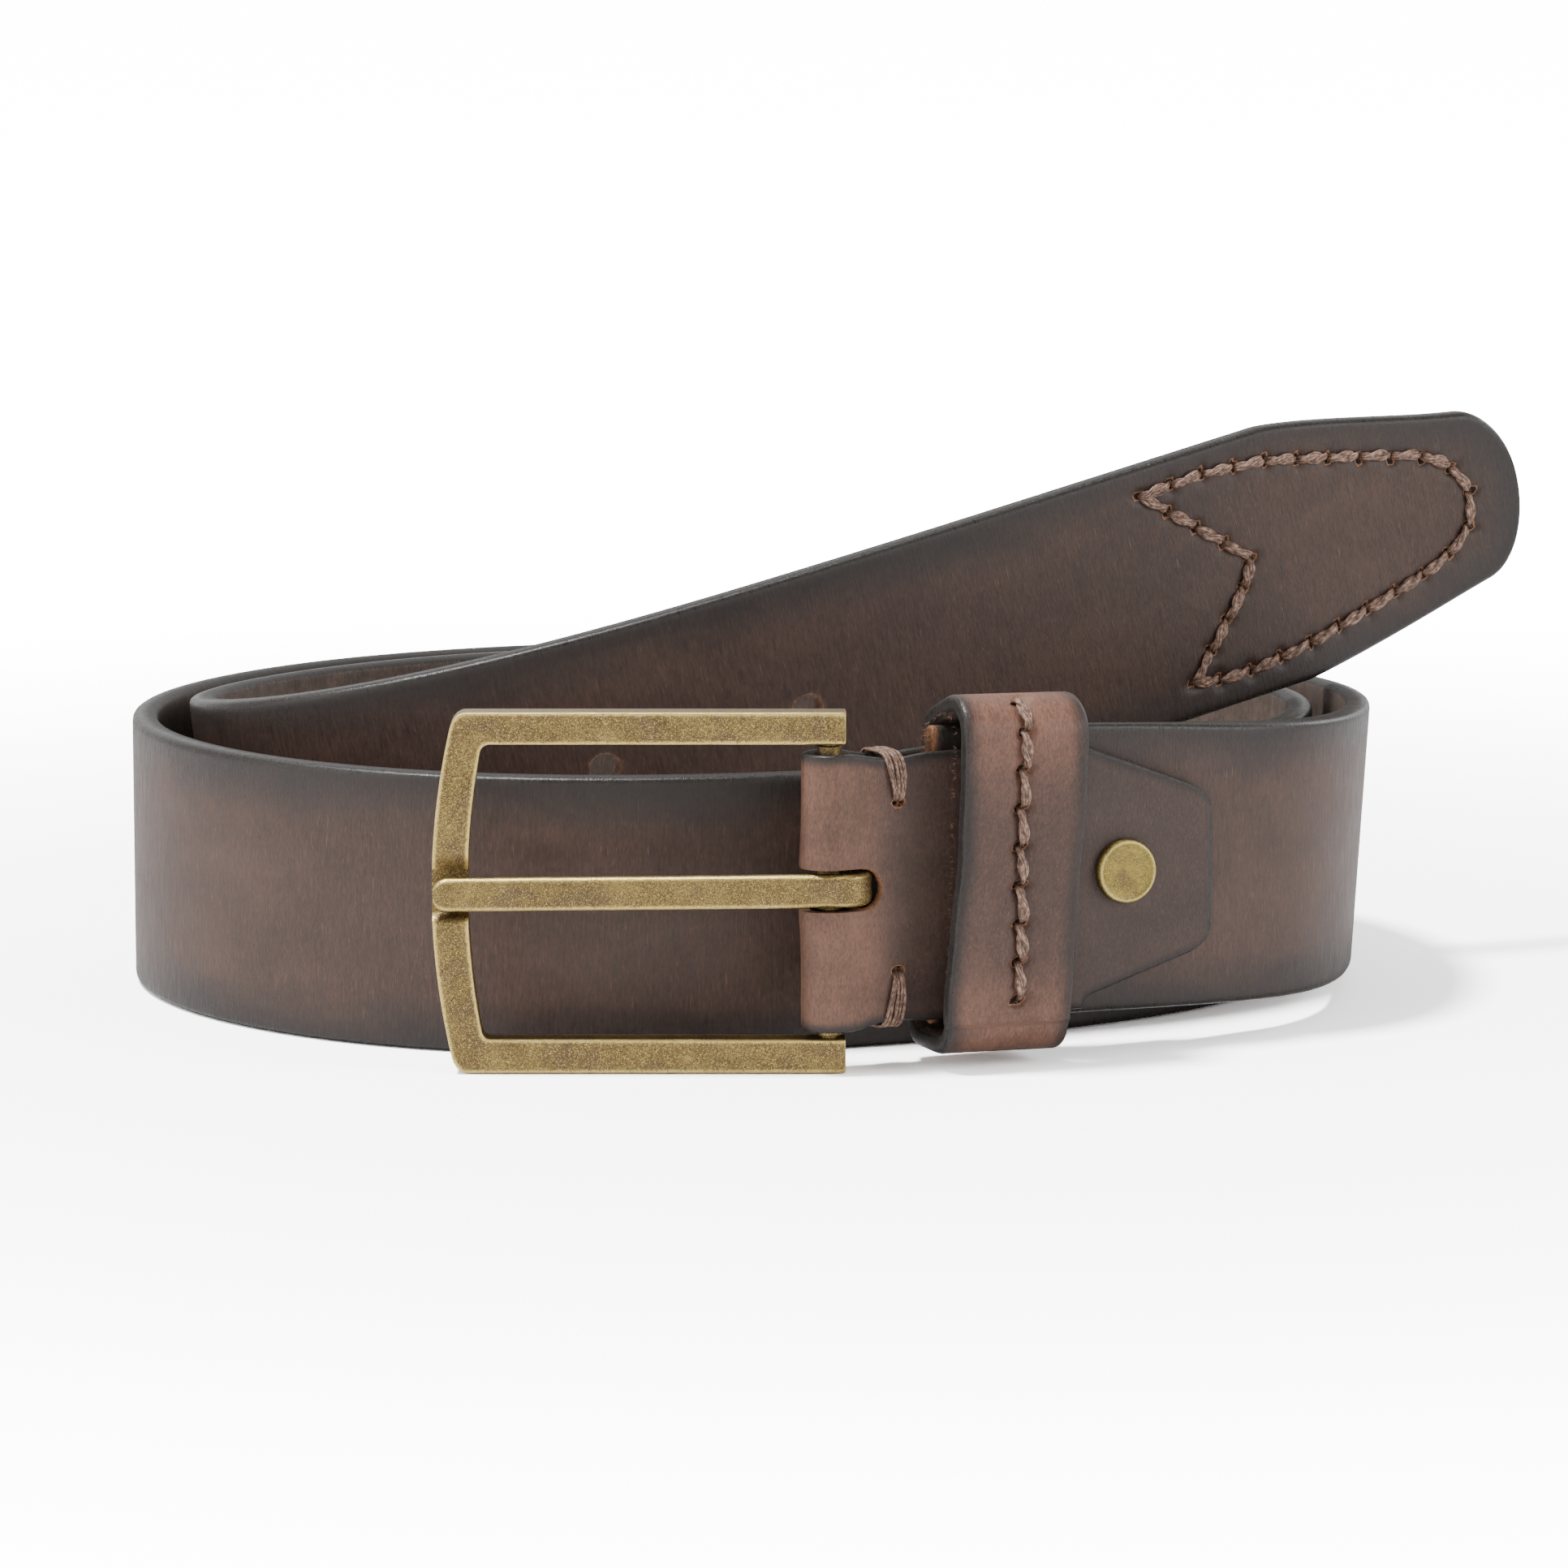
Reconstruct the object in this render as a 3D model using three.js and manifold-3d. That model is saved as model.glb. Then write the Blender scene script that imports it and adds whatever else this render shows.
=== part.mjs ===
// A man's leather belt, coiled and standing on its edge, with a brass prong buckle.
// Millimetres, +Z up. The buckle faces -Y, the punched end leaves the coil towards +X.
import * as THREE from "three";
import { mergeVertices } from "three/addons/utils/BufferGeometryUtils.js";
import Module from "manifold-3d";

const wasm = await Module();
wasm.setup();

// ---------------------------------------------------------------- driving dimensions

// Origin: middle of the whole belt on the floor, counted from the heel bar's construction frame.
const ORIGIN = { x: 6.92, y: 67.84, z: -0.015 };

// Strap
const STRAP_WIDTH = 38;
const STRAP_THICKNESS = 3.6;
const STRAP_START = 16;
const STRAP_END = 1038.8;
const EDGE_ROUND = 0.8;
const STATION_STEP = 5.5;

// Route of the strap's middle line, counted from the heel bar: [station, bend in 1/m], linear between.
const ROUTE_START = { x: 5.6, y: -4.0, heading: 24.3 };
const BENDS = [
  [0, 0], [48, 0], [70, 35], [95, 10], [125, 12], [160, 17.5], [205, 9], [255, 9],
  [310, 13.5], [355, 16.5], [400, 15.5], [450, 15], [510, 5.5], [570, 15], [610, 27],
  [645, 13], [680, 5.5], [720, 13.5], [765, 14.5], [800, 17], [825, 27], [850, 31],
  [880, 12.5], [920, 2.5], [970, 0], [1040, 0.5],
];
const BUCKLE_LIFT = 5.4;
const LIFT_FROM = 20;
const LIFT_LENGTH = 175;
const OUTER_LEAN = 3.5;
const INNER_LEAN = 6.8;
const INNER_LEAN_FROM = 745;

// Skived flesh side inside the folded chape
const SKIVED_INNER = -0.2;
const SKIVE_FROM = 47;
const SKIVE_TO = 62;

// Punched end
const HOLE_DIAMETER = 4;
const HOLE_PITCH = 30;
const HOLE_COUNT = 5;
const FIRST_HOLE = 923.5;
const TAPER_FROM = 1000;
const TAPER_HALF_WIDTH = 11.5;
const END_CORNER = 7;

// Chape: leather folded round the heel bar, its front leaf running out to a riveted tab
const LEAF = 1.4;
const GAP = 0.3;
const CHAPE_HALF_WIDTH = 18.1;
const FOLD_CENTRE_T = 0.8;
const FOLD_RADIUS = 3.0;
const FOLD_BLEND = 13;
const TAB_END = 56;
const TAB_SHOULDER = 36.5;
const TAB_END_HALF_WIDTH = 8.5;
const BACK_LEAF_END = 49;
const SLOT_END = 6.4;
const SLOT_HALF_WIDTH = 2.9;

// Rivet
const RIVET_AT = 42.5;
const RIVET_CAP_RADIUS = 4.4;
const RIVET_CAP_HEIGHT = 1.1;
const RIVET_POST_RADIUS = 1.5;
const RIVET_BACK_RADIUS = 3.8;

// Tack stitches over the chape's edges
const TACK_AT = 8.7;
const TACK_INNER_W = 10.9;
const TACK_WIDTH = 2.3;
const TACK_THICKNESS = 0.9;

// Buckle frame
const BAR = { x: 6.0, y: -4.5 };
const FRAME_Z = [0.15, 48.5];
const FRAME_DEPTH = 4.0;
const FRAME_RIGHT = 8.2;
const FRAME_LEFT = -46.6;
const FRAME_CORNER_X = -43.8;
const WINDOW_Z = [4.7, 44.2];
const WINDOW_LEFT = -41.7;
const WINDOW_CORNER_X = -39.9;
const FRAME_BEVEL = 0.5;
const NOTCH_HALF_HEIGHT = 3.3;
const NOTCH_FLOOR_Y = -5.2;
const BAR_RADIUS = 1.6;
const BAR_PIN_RADIUS = 1.1;
const BAR_PIN_LENGTH = 2.6;

// Prong
const PRONG_WIDTH = 4.5;
const PRONG_THICKNESS = 2.1;
const PRONG_TIP_X = -46.4;
const PRONG_HOOK_RADIUS = 3.0;
const PRONG_HOOK_X = 7.6;
const PRONG_Z = 24.2;

// Keeper
const KEEPER_FROM = 14.2;
const KEEPER_WIDTH = 18;
const KEEPER_LEATHER = 2.4;
const KEEPER_INNER_T = [-2.2, 7.9];
const KEEPER_INNER_W = [-20.6, 23.0];
const KEEPER_CORNER = 4.2;
const KEEPER_TILT = 1.6;

// Stitches
const KEEPER_STITCHES = 8;
const KEEPER_SEAM = { from: 22.0, to: -15.5, shift: 0.4 };
const THREAD_WIDTH = 1.3;
const THREAD_HEIGHT = 0.9;
const POCKET = 1.0;
const TIP_STITCHES = 30;
// Outline of the seam round the punched end: [along the strap, across it]
const TIP_SEAM = [
  [979.6, 14.8], [990, 15.2], [1000, 14.2], [1012.5, 11.2], [1024.5, 8], [1029.5, 4.6],
  [1031.3, 0], [1029.8, -4.9], [1024.5, -8.3], [1013, -11], [1000, -13.8], [990, -14.7],
  [981.5, -14.2], [988.5, -7], [995.4, 0.5], [987.4, 7.8],
];

// ---------------------------------------------------------------- materials

function leather(colour, roughness) {
  return new THREE.MeshStandardMaterial({ color: colour, roughness, metalness: 0 });
}

function brass(colour, roughness) {
  return new THREE.MeshStandardMaterial({ color: colour, roughness, metalness: 1 });
}

// ---------------------------------------------------------------- route of the strap

const smooth = (x) => {
  const u = Math.min(Math.max(x, 0), 1);
  return u * u * (3 - 2 * u);
};
const radians = THREE.MathUtils.degToRad;

function bendAt(s) {
  const i = BENDS.findIndex(([at]) => at >= s);
  if (i <= 0) return i === 0 ? BENDS[0][1] : BENDS.at(-1)[1];
  const [s0, k0] = BENDS[i - 1];
  const [s1, k1] = BENDS[i];
  return k0 + ((k1 - k0) * (s - s0)) / (s1 - s0);
}

// The strap stands upright, leans out a little on the first turn and leans more on the last, which
// makes it climb: slope = lean (1 - cos turn), roll = lean sin turn.
const ROUTE_STEP = 0.5;
const ROUTE = [];
{
  let x = ROUTE_START.x;
  let y = ROUTE_START.y;
  let climb = 0;
  let heading = radians(ROUTE_START.heading);
  let leanHeading = heading;
  for (let s = 0; s <= STRAP_END + 5; s += ROUTE_STEP) {
    if (s <= INNER_LEAN_FROM) leanHeading = heading;
    const turn = heading - leanHeading;
    const slope = radians(INNER_LEAN) * (1 - Math.cos(turn));
    const hump = smooth(Math.min((s - 55) / 50, (215 - s) / 80));
    const roll = radians(INNER_LEAN) * Math.sin(turn) + radians(OUTER_LEAN) * hump;
    const lift = BUCKLE_LIFT * (1 - smooth((s - LIFT_FROM) / LIFT_LENGTH));
    ROUTE.push({ x, y, z: STRAP_WIDTH / 2 + lift + climb, heading, slope, roll });
    const middle = heading + (bendAt(s + ROUTE_STEP / 2) / 1000) * (ROUTE_STEP / 2);
    x += Math.cos(slope) * Math.cos(middle) * ROUTE_STEP;
    y += Math.cos(slope) * Math.sin(middle) * ROUTE_STEP;
    climb += Math.sin(slope) * ROUTE_STEP;
    heading += (bendAt(s + ROUTE_STEP / 2) / 1000) * ROUTE_STEP;
  }
}

// Frame at a station: centre, along, across (up) and outward directions.
function strapFrame(s) {
  const u = Math.min(Math.max(s / ROUTE_STEP, 0), ROUTE.length - 1.001);
  const i = Math.floor(u);
  const a = ROUTE[i];
  const b = ROUTE[i + 1];
  const mix = (key) => a[key] + (b[key] - a[key]) * (u - i);
  const heading = mix("heading");
  const slope = mix("slope");
  const roll = mix("roll");
  const along = new THREE.Vector3(
    Math.cos(slope) * Math.cos(heading),
    Math.cos(slope) * Math.sin(heading),
    Math.sin(slope),
  );
  const side = new THREE.Vector3(Math.sin(heading), -Math.cos(heading), 0);
  const up = side.clone().cross(along);
  const across = up.clone().multiplyScalar(Math.cos(roll)).addScaledVector(side, Math.sin(roll));
  const out = side.clone().multiplyScalar(Math.cos(roll)).addScaledVector(up, -Math.sin(roll));
  const centre = new THREE.Vector3(mix("x"), mix("y"), mix("z"));
  centre.addScaledVector(along, Math.min(s, 0));
  return { centre, along, across, out };
}

// A point s along the strap, w across it and t outwards from its middle surface.
function strapPoint(s, w, t) {
  const f = strapFrame(s);
  return f.centre.addScaledVector(f.across, w).addScaledVector(f.out, t);
}

// Matrix whose X, Y, Z axes run along, across and out of the strap at (s, w, t).
function strapMatrix(s, w, t) {
  const f = strapFrame(s);
  const m = new THREE.Matrix4().makeBasis(f.along, f.across, f.out);
  return m.setPosition(strapPoint(s, w, t));
}

const innerFace = (s) => {
  const full = -STRAP_THICKNESS / 2;
  return SKIVED_INNER + (full - SKIVED_INNER) * smooth((s - SKIVE_FROM) / (SKIVE_TO - SKIVE_FROM));
};

// ---------------------------------------------------------------- solids

function plain(geometry) {
  const g = geometry.clone();
  for (const name of Object.keys(g.attributes)) {
    if (name !== "position") g.deleteAttribute(name);
  }
  return mergeVertices(g, 1e-4);
}

function toSolid(geometry) {
  const g = plain(geometry);
  return new wasm.Manifold(
    new wasm.Mesh({
      numProp: 3,
      vertProperties: g.attributes.position.array,
      triVerts: new Uint32Array(g.index.array),
    }),
  );
}

function toGeometry(solid) {
  const mesh = solid.getMesh();
  const geometry = new THREE.BufferGeometry();
  geometry.setAttribute("position", new THREE.BufferAttribute(mesh.vertProperties, 3));
  geometry.setIndex(new THREE.BufferAttribute(mesh.triVerts, 1));
  geometry.computeVertexNormals();
  return geometry;
}

function cut(geometry, cutters) {
  let solid = toSolid(geometry);
  for (const cutter of cutters) solid = solid.subtract(toSolid(cutter));
  return toGeometry(solid);
}

// A sheet: a box bent so that place(u, v, q) gives each corner, with u from 0 to 1 along the sheet,
// v from -1 to 1 across it and q from -1 to 1 through it. Its long edges are rounded off.
function sheet(stations, halfWidth, halfThickness, edge, place) {
  const box = new THREE.BoxGeometry(1, 2, 2, stations.length - 1, 3, 1);
  const p = box.attributes.position;
  for (let i = 0; i < p.count; i++) {
    const s = stations[Math.round((p.getX(i) + 0.5) * (stations.length - 1))];
    const atEdge = Math.abs(p.getY(i)) > 0.9;
    const half = halfWidth(s);
    const w = Math.sign(p.getY(i)) * (atEdge ? half : half - edge);
    const through = Math.sign(p.getZ(i)) * (atEdge ? halfThickness - edge * 0.7 : halfThickness);
    p.setXYZ(i, ...place(s, w, through).toArray());
  }
  return box;
}

function stationsBetween(from, to, step) {
  const count = Math.ceil((to - from) / step);
  return Array.from({ length: count + 1 }, (_, i) => from + ((to - from) * i) / count);
}

// A pin of the given radius through the strap's thickness at (s, w), from t0 to t1.
function crossPin(radius, s, w, t0, t1, sides = 16) {
  const pin = new THREE.CylinderGeometry(radius, radius, t1 - t0, sides);
  pin.rotateX(Math.PI / 2);
  return pin.applyMatrix4(strapMatrix(s, w, (t0 + t1) / 2));
}

function pocket(matrix, depth) {
  const box = new THREE.BoxGeometry(POCKET, POCKET, 2 * depth);
  box.rotateZ(Math.PI / 4);
  return box.applyMatrix4(matrix);
}

// ---------------------------------------------------------------- strap

function strapHalfWidth(s) {
  const full = STRAP_WIDTH / 2;
  const left = STRAP_END - s;
  const u = Math.max(0, (s - TAPER_FROM) / (STRAP_END - TAPER_FROM));
  const side = full - (full - TAPER_HALF_WIDTH) * Math.pow(u, 1.2);
  if (left >= END_CORNER) return side;
  const drop = END_CORNER - Math.sqrt(END_CORNER ** 2 - (END_CORNER - left) ** 2);
  return side - drop * 1.5;
}

// Stations along the path of the seam, spaced evenly.
function seamStations(points, count) {
  const closed = [...points, points[0]].map(([s, w]) => new THREE.Vector2(s, w));
  const path = new THREE.Path(closed);
  return Array.from({ length: count }, (_, i) => {
    const a = path.getPointAt(i / count);
    const b = path.getPointAt((i + 1) / count);
    return { start: a, end: b };
  });
}

const tipSeam = seamStations(TIP_SEAM, TIP_STITCHES);

function buildStrap() {
  const ends = [12, 9, 6.5, 5.5, 4.2, 3, 2, 1.2, 0.5, 0.1, 0].map((d) => STRAP_END - d);
  const stations = [...stationsBetween(STRAP_START, STRAP_END - 16, STATION_STEP), ...ends];
  const body = sheet(stations, strapHalfWidth, 1, EDGE_ROUND / 2, (s, w, through) => {
    const outer = STRAP_THICKNESS / 2;
    const inner = innerFace(s);
    const t = (outer + inner) / 2 + (through * (outer - inner)) / 2;
    return strapPoint(s, w, t);
  });
  const far = STRAP_THICKNESS;
  const cutters = [];
  for (let i = 0; i < HOLE_COUNT; i++) {
    cutters.push(crossPin(HOLE_DIAMETER / 2, FIRST_HOLE - i * HOLE_PITCH, 0, -far, far, 20));
  }
  cutters.push(crossPin(RIVET_POST_RADIUS + GAP, RIVET_AT, 0, -far, far, 12));
  for (const { start } of tipSeam) {
    cutters.push(pocket(strapMatrix(start.x, start.y, STRAP_THICKNESS / 2), 1.0));
  }
  return cut(body, cutters);
}

// ---------------------------------------------------------------- chape

// Middle line of the folded leather: back leaf, fold round the bar, front leaf.
function chapeLine() {
  const front = STRAP_THICKNESS / 2 + GAP + LEAF / 2;
  const back = (s) => innerFace(s) - GAP - LEAF / 2;
  const line = [];
  for (const s of stationsBetween(FOLD_BLEND, BACK_LEAF_END, 4.6).reverse()) {
    line.push([s, back(s)]);
  }
  const blend = stationsBetween(0, FOLD_BLEND, FOLD_BLEND / 4);
  for (const s of blend.slice(1, -1).reverse()) {
    const k = smooth(s / FOLD_BLEND);
    line.push([s, (FOLD_CENTRE_T - FOLD_RADIUS) * (1 - k) + back(FOLD_BLEND) * k]);
  }
  for (let i = 0; i <= 12; i++) {
    const a = -Math.PI / 2 - (Math.PI * i) / 12;
    line.push([FOLD_RADIUS * Math.cos(a), FOLD_CENTRE_T + FOLD_RADIUS * Math.sin(a)]);
  }
  for (const s of blend.slice(1, -1)) {
    const k = smooth(s / FOLD_BLEND);
    line.push([s, (FOLD_CENTRE_T + FOLD_RADIUS) * (1 - k) + front * k]);
  }
  for (const s of stationsBetween(FOLD_BLEND, TAB_END - 5, 4.5)) line.push([s, front]);
  for (const d of [3.6, 2.4, 1.4, 0.6, 0]) line.push([TAB_END - d, front]);
  return line;
}

function chapeHalfWidth(s, isFront) {
  if (!isFront || s < TAB_SHOULDER) return CHAPE_HALF_WIDTH;
  const u = (s - TAB_SHOULDER) / (TAB_END - TAB_SHOULDER);
  const side = CHAPE_HALF_WIDTH - 1.4 - (CHAPE_HALF_WIDTH - 1.4 - TAB_END_HALF_WIDTH - 1.6) * u;
  const left = TAB_END - s;
  const corner = 3.6;
  const drop = left < corner ? corner - Math.sqrt(corner ** 2 - (corner - left) ** 2) : 0;
  return Math.min(side - drop * 0.8, CHAPE_HALF_WIDTH - 1.4 * smooth(u * 12));
}

function buildChape() {
  const line = chapeLine();
  const foldAt = line.findIndex(([, t]) => t > FOLD_CENTRE_T);
  const index = line.map((_, i) => i);
  const normals = line.map((_, i) => {
    const a = line[Math.max(i - 1, 0)];
    const b = line[Math.min(i + 1, line.length - 1)];
    return new THREE.Vector2(-(b[1] - a[1]), b[0] - a[0]).normalize();
  });
  const body = sheet(
    index,
    (i) => chapeHalfWidth(line[i][0], i >= foldAt),
    LEAF / 2,
    0.4,
    (i, w, through) => {
      const n = normals[i];
      return strapPoint(line[i][0] + n.x * through, w, line[i][1] + n.y * through);
    },
  );
  // slot for the prong, open round the fold
  const slot = new THREE.Shape();
  slot.moveTo(-6, -SLOT_HALF_WIDTH);
  slot.lineTo(SLOT_END - SLOT_HALF_WIDTH, -SLOT_HALF_WIDTH);
  slot.absarc(SLOT_END - SLOT_HALF_WIDTH, 0, SLOT_HALF_WIDTH, -Math.PI / 2, Math.PI / 2);
  slot.lineTo(-6, SLOT_HALF_WIDTH);
  const slotCutter = new THREE.ExtrudeGeometry(slot, {
    depth: 16,
    bevelEnabled: false,
    curveSegments: 6,
  });
  slotCutter.translate(0, 0, -8);
  slotCutter.applyMatrix4(strapMatrix(0, 0, 0));
  const cutters = [slotCutter, crossPin(RIVET_POST_RADIUS + GAP, RIVET_AT, 0, -6, 6, 12)];
  for (const side of [1, -1]) {
    const hole = new THREE.BoxGeometry(TACK_WIDTH + 0.7, 1.9, 12);
    cutters.push(hole.applyMatrix4(strapMatrix(TACK_AT, side * TACK_INNER_W, 0)));
  }
  return cut(body, cutters);
}

// ---------------------------------------------------------------- rivet

function rivetCap() {
  const r = RIVET_CAP_RADIUS;
  const h = RIVET_CAP_HEIGHT;
  const socket = RIVET_POST_RADIUS + GAP;
  const profile = [
    [0, 0.55], [socket, 0.55], [socket, 0], [r - 0.2, 0], [r, 0.25], [r - 0.1, 0.8],
    [r - 0.5, h], [r - 0.9, h - 0.12], [0, h],
  ].map(([x, y]) => new THREE.Vector2(x, y));
  const cap = new THREE.LatheGeometry(profile, 24);
  cap.rotateX(Math.PI / 2);
  const seat = STRAP_THICKNESS / 2 + GAP + LEAF + GAP;
  return cap.applyMatrix4(strapMatrix(RIVET_AT, 0, seat));
}

function rivetPost() {
  const backSeat = innerFace(RIVET_AT) - GAP - LEAF - GAP;
  const top = STRAP_THICKNESS / 2 + GAP + LEAF + GAP + 0.25 - backSeat;
  const profile = [
    [0, -0.9], [RIVET_BACK_RADIUS - 0.4, -0.9], [RIVET_BACK_RADIUS, -0.5],
    [RIVET_BACK_RADIUS, 0], [RIVET_POST_RADIUS, 0], [RIVET_POST_RADIUS, top], [0, top],
  ].map(([x, y]) => new THREE.Vector2(x, y));
  const post = new THREE.LatheGeometry(profile, 16);
  post.rotateX(Math.PI / 2);
  return post.applyMatrix4(strapMatrix(RIVET_AT, 0, backSeat));
}

// ---------------------------------------------------------------- tack stitches

// A flat band of waxed thread: out of the front hole, over the chape's edge, into the back hole.
function tackStitch(side) {
  const half = TACK_THICKNESS / 2;
  const blend = smooth(TACK_AT / FOLD_BLEND);
  const frontMid = STRAP_THICKNESS / 2 + GAP + LEAF / 2;
  const backMid = SKIVED_INNER - GAP - LEAF / 2;
  const front = (FOLD_CENTRE_T + FOLD_RADIUS) * (1 - blend) + frontMid * blend + LEAF / 2;
  const back = (FOLD_CENTRE_T - FOLD_RADIUS) * (1 - blend) + backMid * blend - LEAF / 2;
  const clear = half + 0.3;
  const edge = CHAPE_HALF_WIDTH + clear;
  const w0 = TACK_INNER_W;
  const corners = [
    [w0, front - 0.9], [w0 + 0.25, front + clear - 0.1], [w0 + 1.4, front + clear],
    [edge - 0.8, front + clear], [edge, front - 0.4], [edge, back + 0.4],
    [edge - 0.8, back - clear], [w0 + 1.4, back - clear], [w0 + 0.25, back - clear + 0.1],
    [w0, back + 0.9],
  ];
  const path = new THREE.CurvePath();
  const points = corners.map(([w, t]) => strapPoint(TACK_AT, side * w, t));
  for (let i = 0; i + 1 < points.length; i++) {
    path.add(new THREE.LineCurve3(points[i], points[i + 1]));
  }
  return bandAlong(points, strapFrame(TACK_AT).along, TACK_WIDTH / 2, half);
}

// A flat band through the given points, its width along one fixed direction.
function bandAlong(points, wide, halfWidth, halfThickness) {
  const box = new THREE.BoxGeometry(1, 2, 2, points.length - 1, 1, 1);
  const p = box.attributes.position;
  const normals = points.map((_, i) => {
    const a = points[Math.max(i - 1, 0)];
    const b = points[Math.min(i + 1, points.length - 1)];
    return b.clone().sub(a).normalize().cross(wide);
  });
  for (let i = 0; i < p.count; i++) {
    const k = Math.round((p.getX(i) + 0.5) * (points.length - 1));
    const at = points[k].clone().addScaledVector(wide, Math.sign(p.getY(i)) * halfWidth);
    at.addScaledVector(normals[k], Math.sign(p.getZ(i)) * halfThickness);
    p.setXYZ(i, at.x, at.y, at.z);
  }
  return box;
}

// ---------------------------------------------------------------- buckle

function frameOutline() {
  const [z0, z1] = FRAME_Z.map((z, i) => z + (i ? -FRAME_BEVEL : FRAME_BEVEL));
  const [v0, v1] = WINDOW_Z.map((z, i) => z + (i ? FRAME_BEVEL : -FRAME_BEVEL));
  const mid = (FRAME_Z[0] + FRAME_Z[1]) / 2;
  const right = FRAME_RIGHT - FRAME_BEVEL;
  const left = FRAME_LEFT + FRAME_BEVEL;
  const corner = FRAME_CORNER_X + FRAME_BEVEL;
  const inner = WINDOW_LEFT - FRAME_BEVEL;
  const innerCorner = WINDOW_CORNER_X - FRAME_BEVEL;
  const s = new THREE.Shape();
  s.moveTo(right, z0);
  s.lineTo(right, v0);
  s.lineTo(innerCorner + 1.2, v0);
  s.quadraticCurveTo(innerCorner, v0, innerCorner - 0.2, v0 + 1.2);
  s.quadraticCurveTo(inner - (innerCorner - inner), mid, innerCorner - 0.2, v1 - 1.2);
  s.quadraticCurveTo(innerCorner, v1, innerCorner + 1.2, v1);
  s.lineTo(right, v1);
  s.lineTo(right, z1);
  s.lineTo(corner + 2.0, z1);
  s.quadraticCurveTo(corner + 0.2, z1, corner - 0.3, z1 - 2.2);
  s.quadraticCurveTo(left - (corner - left) * 0.9, mid, corner - 0.3, z0 + 2.2);
  s.quadraticCurveTo(corner + 0.2, z0, corner + 2.0, z0);
  s.closePath();
  return s;
}

function buildFrame() {
  const frame = new THREE.ExtrudeGeometry(frameOutline(), {
    depth: FRAME_DEPTH - 2 * FRAME_BEVEL,
    bevelEnabled: true,
    bevelThickness: FRAME_BEVEL,
    bevelSize: FRAME_BEVEL,
    bevelSegments: 1,
    curveSegments: 8,
  });
  frame.rotateX(Math.PI / 2);
  frame.translate(0, BAR.y + FRAME_DEPTH / 2 - FRAME_BEVEL, 0);
  const front = BAR.y - FRAME_DEPTH / 2;
  const notch = new THREE.BoxGeometry(12, 2 * (NOTCH_FLOOR_Y - front), 2 * NOTCH_HALF_HEIGHT);
  notch.translate(WINDOW_LEFT - 4, front, PRONG_Z);
  const cutters = [notch];
  for (const [z, way] of [[WINDOW_Z[0], -1], [WINDOW_Z[1], 1]]) {
    const socket = new THREE.CylinderGeometry(
      BAR_PIN_RADIUS + GAP,
      BAR_PIN_RADIUS + GAP,
      2 * (BAR_PIN_LENGTH + 0.2),
      12,
    );
    socket.rotateX(Math.PI / 2);
    socket.translate(BAR.x, BAR.y, z + way * 0.2);
    cutters.push(socket);
  }
  return cut(frame, cutters);
}

function buildBar() {
  const [z0, z1] = [WINDOW_Z[0] + 0.3, WINDOW_Z[1] - 0.3];
  const profile = [
    [0, z0 - BAR_PIN_LENGTH], [BAR_PIN_RADIUS, z0 - BAR_PIN_LENGTH], [BAR_PIN_RADIUS, z0],
    [BAR_RADIUS, z0], [BAR_RADIUS, z1], [BAR_PIN_RADIUS, z1],
    [BAR_PIN_RADIUS, z1 + BAR_PIN_LENGTH], [0, z1 + BAR_PIN_LENGTH],
  ].map(([r, z]) => new THREE.Vector2(r, z));
  const bar = new THREE.LatheGeometry(profile, 16);
  bar.rotateX(Math.PI / 2);
  return bar.translate(BAR.x, BAR.y, 0);
}

// The prong's side outline in plan: a long arm whose heel hooks round the bar.
function prongLine() {
  const armY = BAR.y - PRONG_HOOK_RADIUS;
  const tipY = NOTCH_FLOOR_Y - GAP - PRONG_THICKNESS / 2;
  const line = [];
  for (const u of [0, 0.02, 0.05, 0.35, 0.7, 0.9]) {
    const x = PRONG_TIP_X + (PRONG_HOOK_X - 2 - PRONG_TIP_X) * u;
    line.push([x, tipY + (armY - tipY) * smooth(u / 0.9)]);
  }
  for (let i = 0; i <= 10; i++) {
    const a = -Math.PI / 2 + (Math.PI * i) / 10;
    line.push([
      PRONG_HOOK_X + PRONG_HOOK_RADIUS * Math.cos(a),
      BAR.y + PRONG_HOOK_RADIUS * Math.sin(a),
    ]);
  }
  line.push([PRONG_HOOK_X - 3.2, BAR.y + PRONG_HOOK_RADIUS]);
  return line;
}

function buildProng() {
  const line = prongLine();
  const normals = line.map((_, i) => {
    const a = line[Math.max(i - 1, 0)];
    const b = line[Math.min(i + 1, line.length - 1)];
    return new THREE.Vector2(-(b[1] - a[1]), b[0] - a[0]).normalize();
  });
  const half = (i) => (PRONG_WIDTH / 2) * [0.55, 0.86, 1][Math.min(i, 2)];
  const index = line.map((_, i) => i);
  return sheet(index, half, PRONG_THICKNESS / 2, 0.7, (i, w, through) => {
    const n = normals[i];
    const thick = i === 0 ? 0.6 : 1;
    return new THREE.Vector3(
      line[i][0] - n.x * through * thick,
      line[i][1] - n.y * through * thick,
      PRONG_Z + w,
    );
  });
}

// ---------------------------------------------------------------- keeper

function roundedRectangle(target, w0, w1, t0, t1, r) {
  target.moveTo(w0 + r, t0);
  target.lineTo(w1 - r, t0);
  target.absarc(w1 - r, t0 + r, r, -Math.PI / 2, 0, false);
  target.lineTo(w1, t1 - r);
  target.absarc(w1 - r, t1 - r, r, 0, Math.PI / 2, false);
  target.lineTo(w0 + r, t1);
  target.absarc(w0 + r, t1 - r, r, Math.PI / 2, Math.PI, false);
  target.lineTo(w0, t0 + r);
  target.absarc(w0 + r, t0 + r, r, Math.PI, 1.5 * Math.PI, false);
  return target;
}

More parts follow.
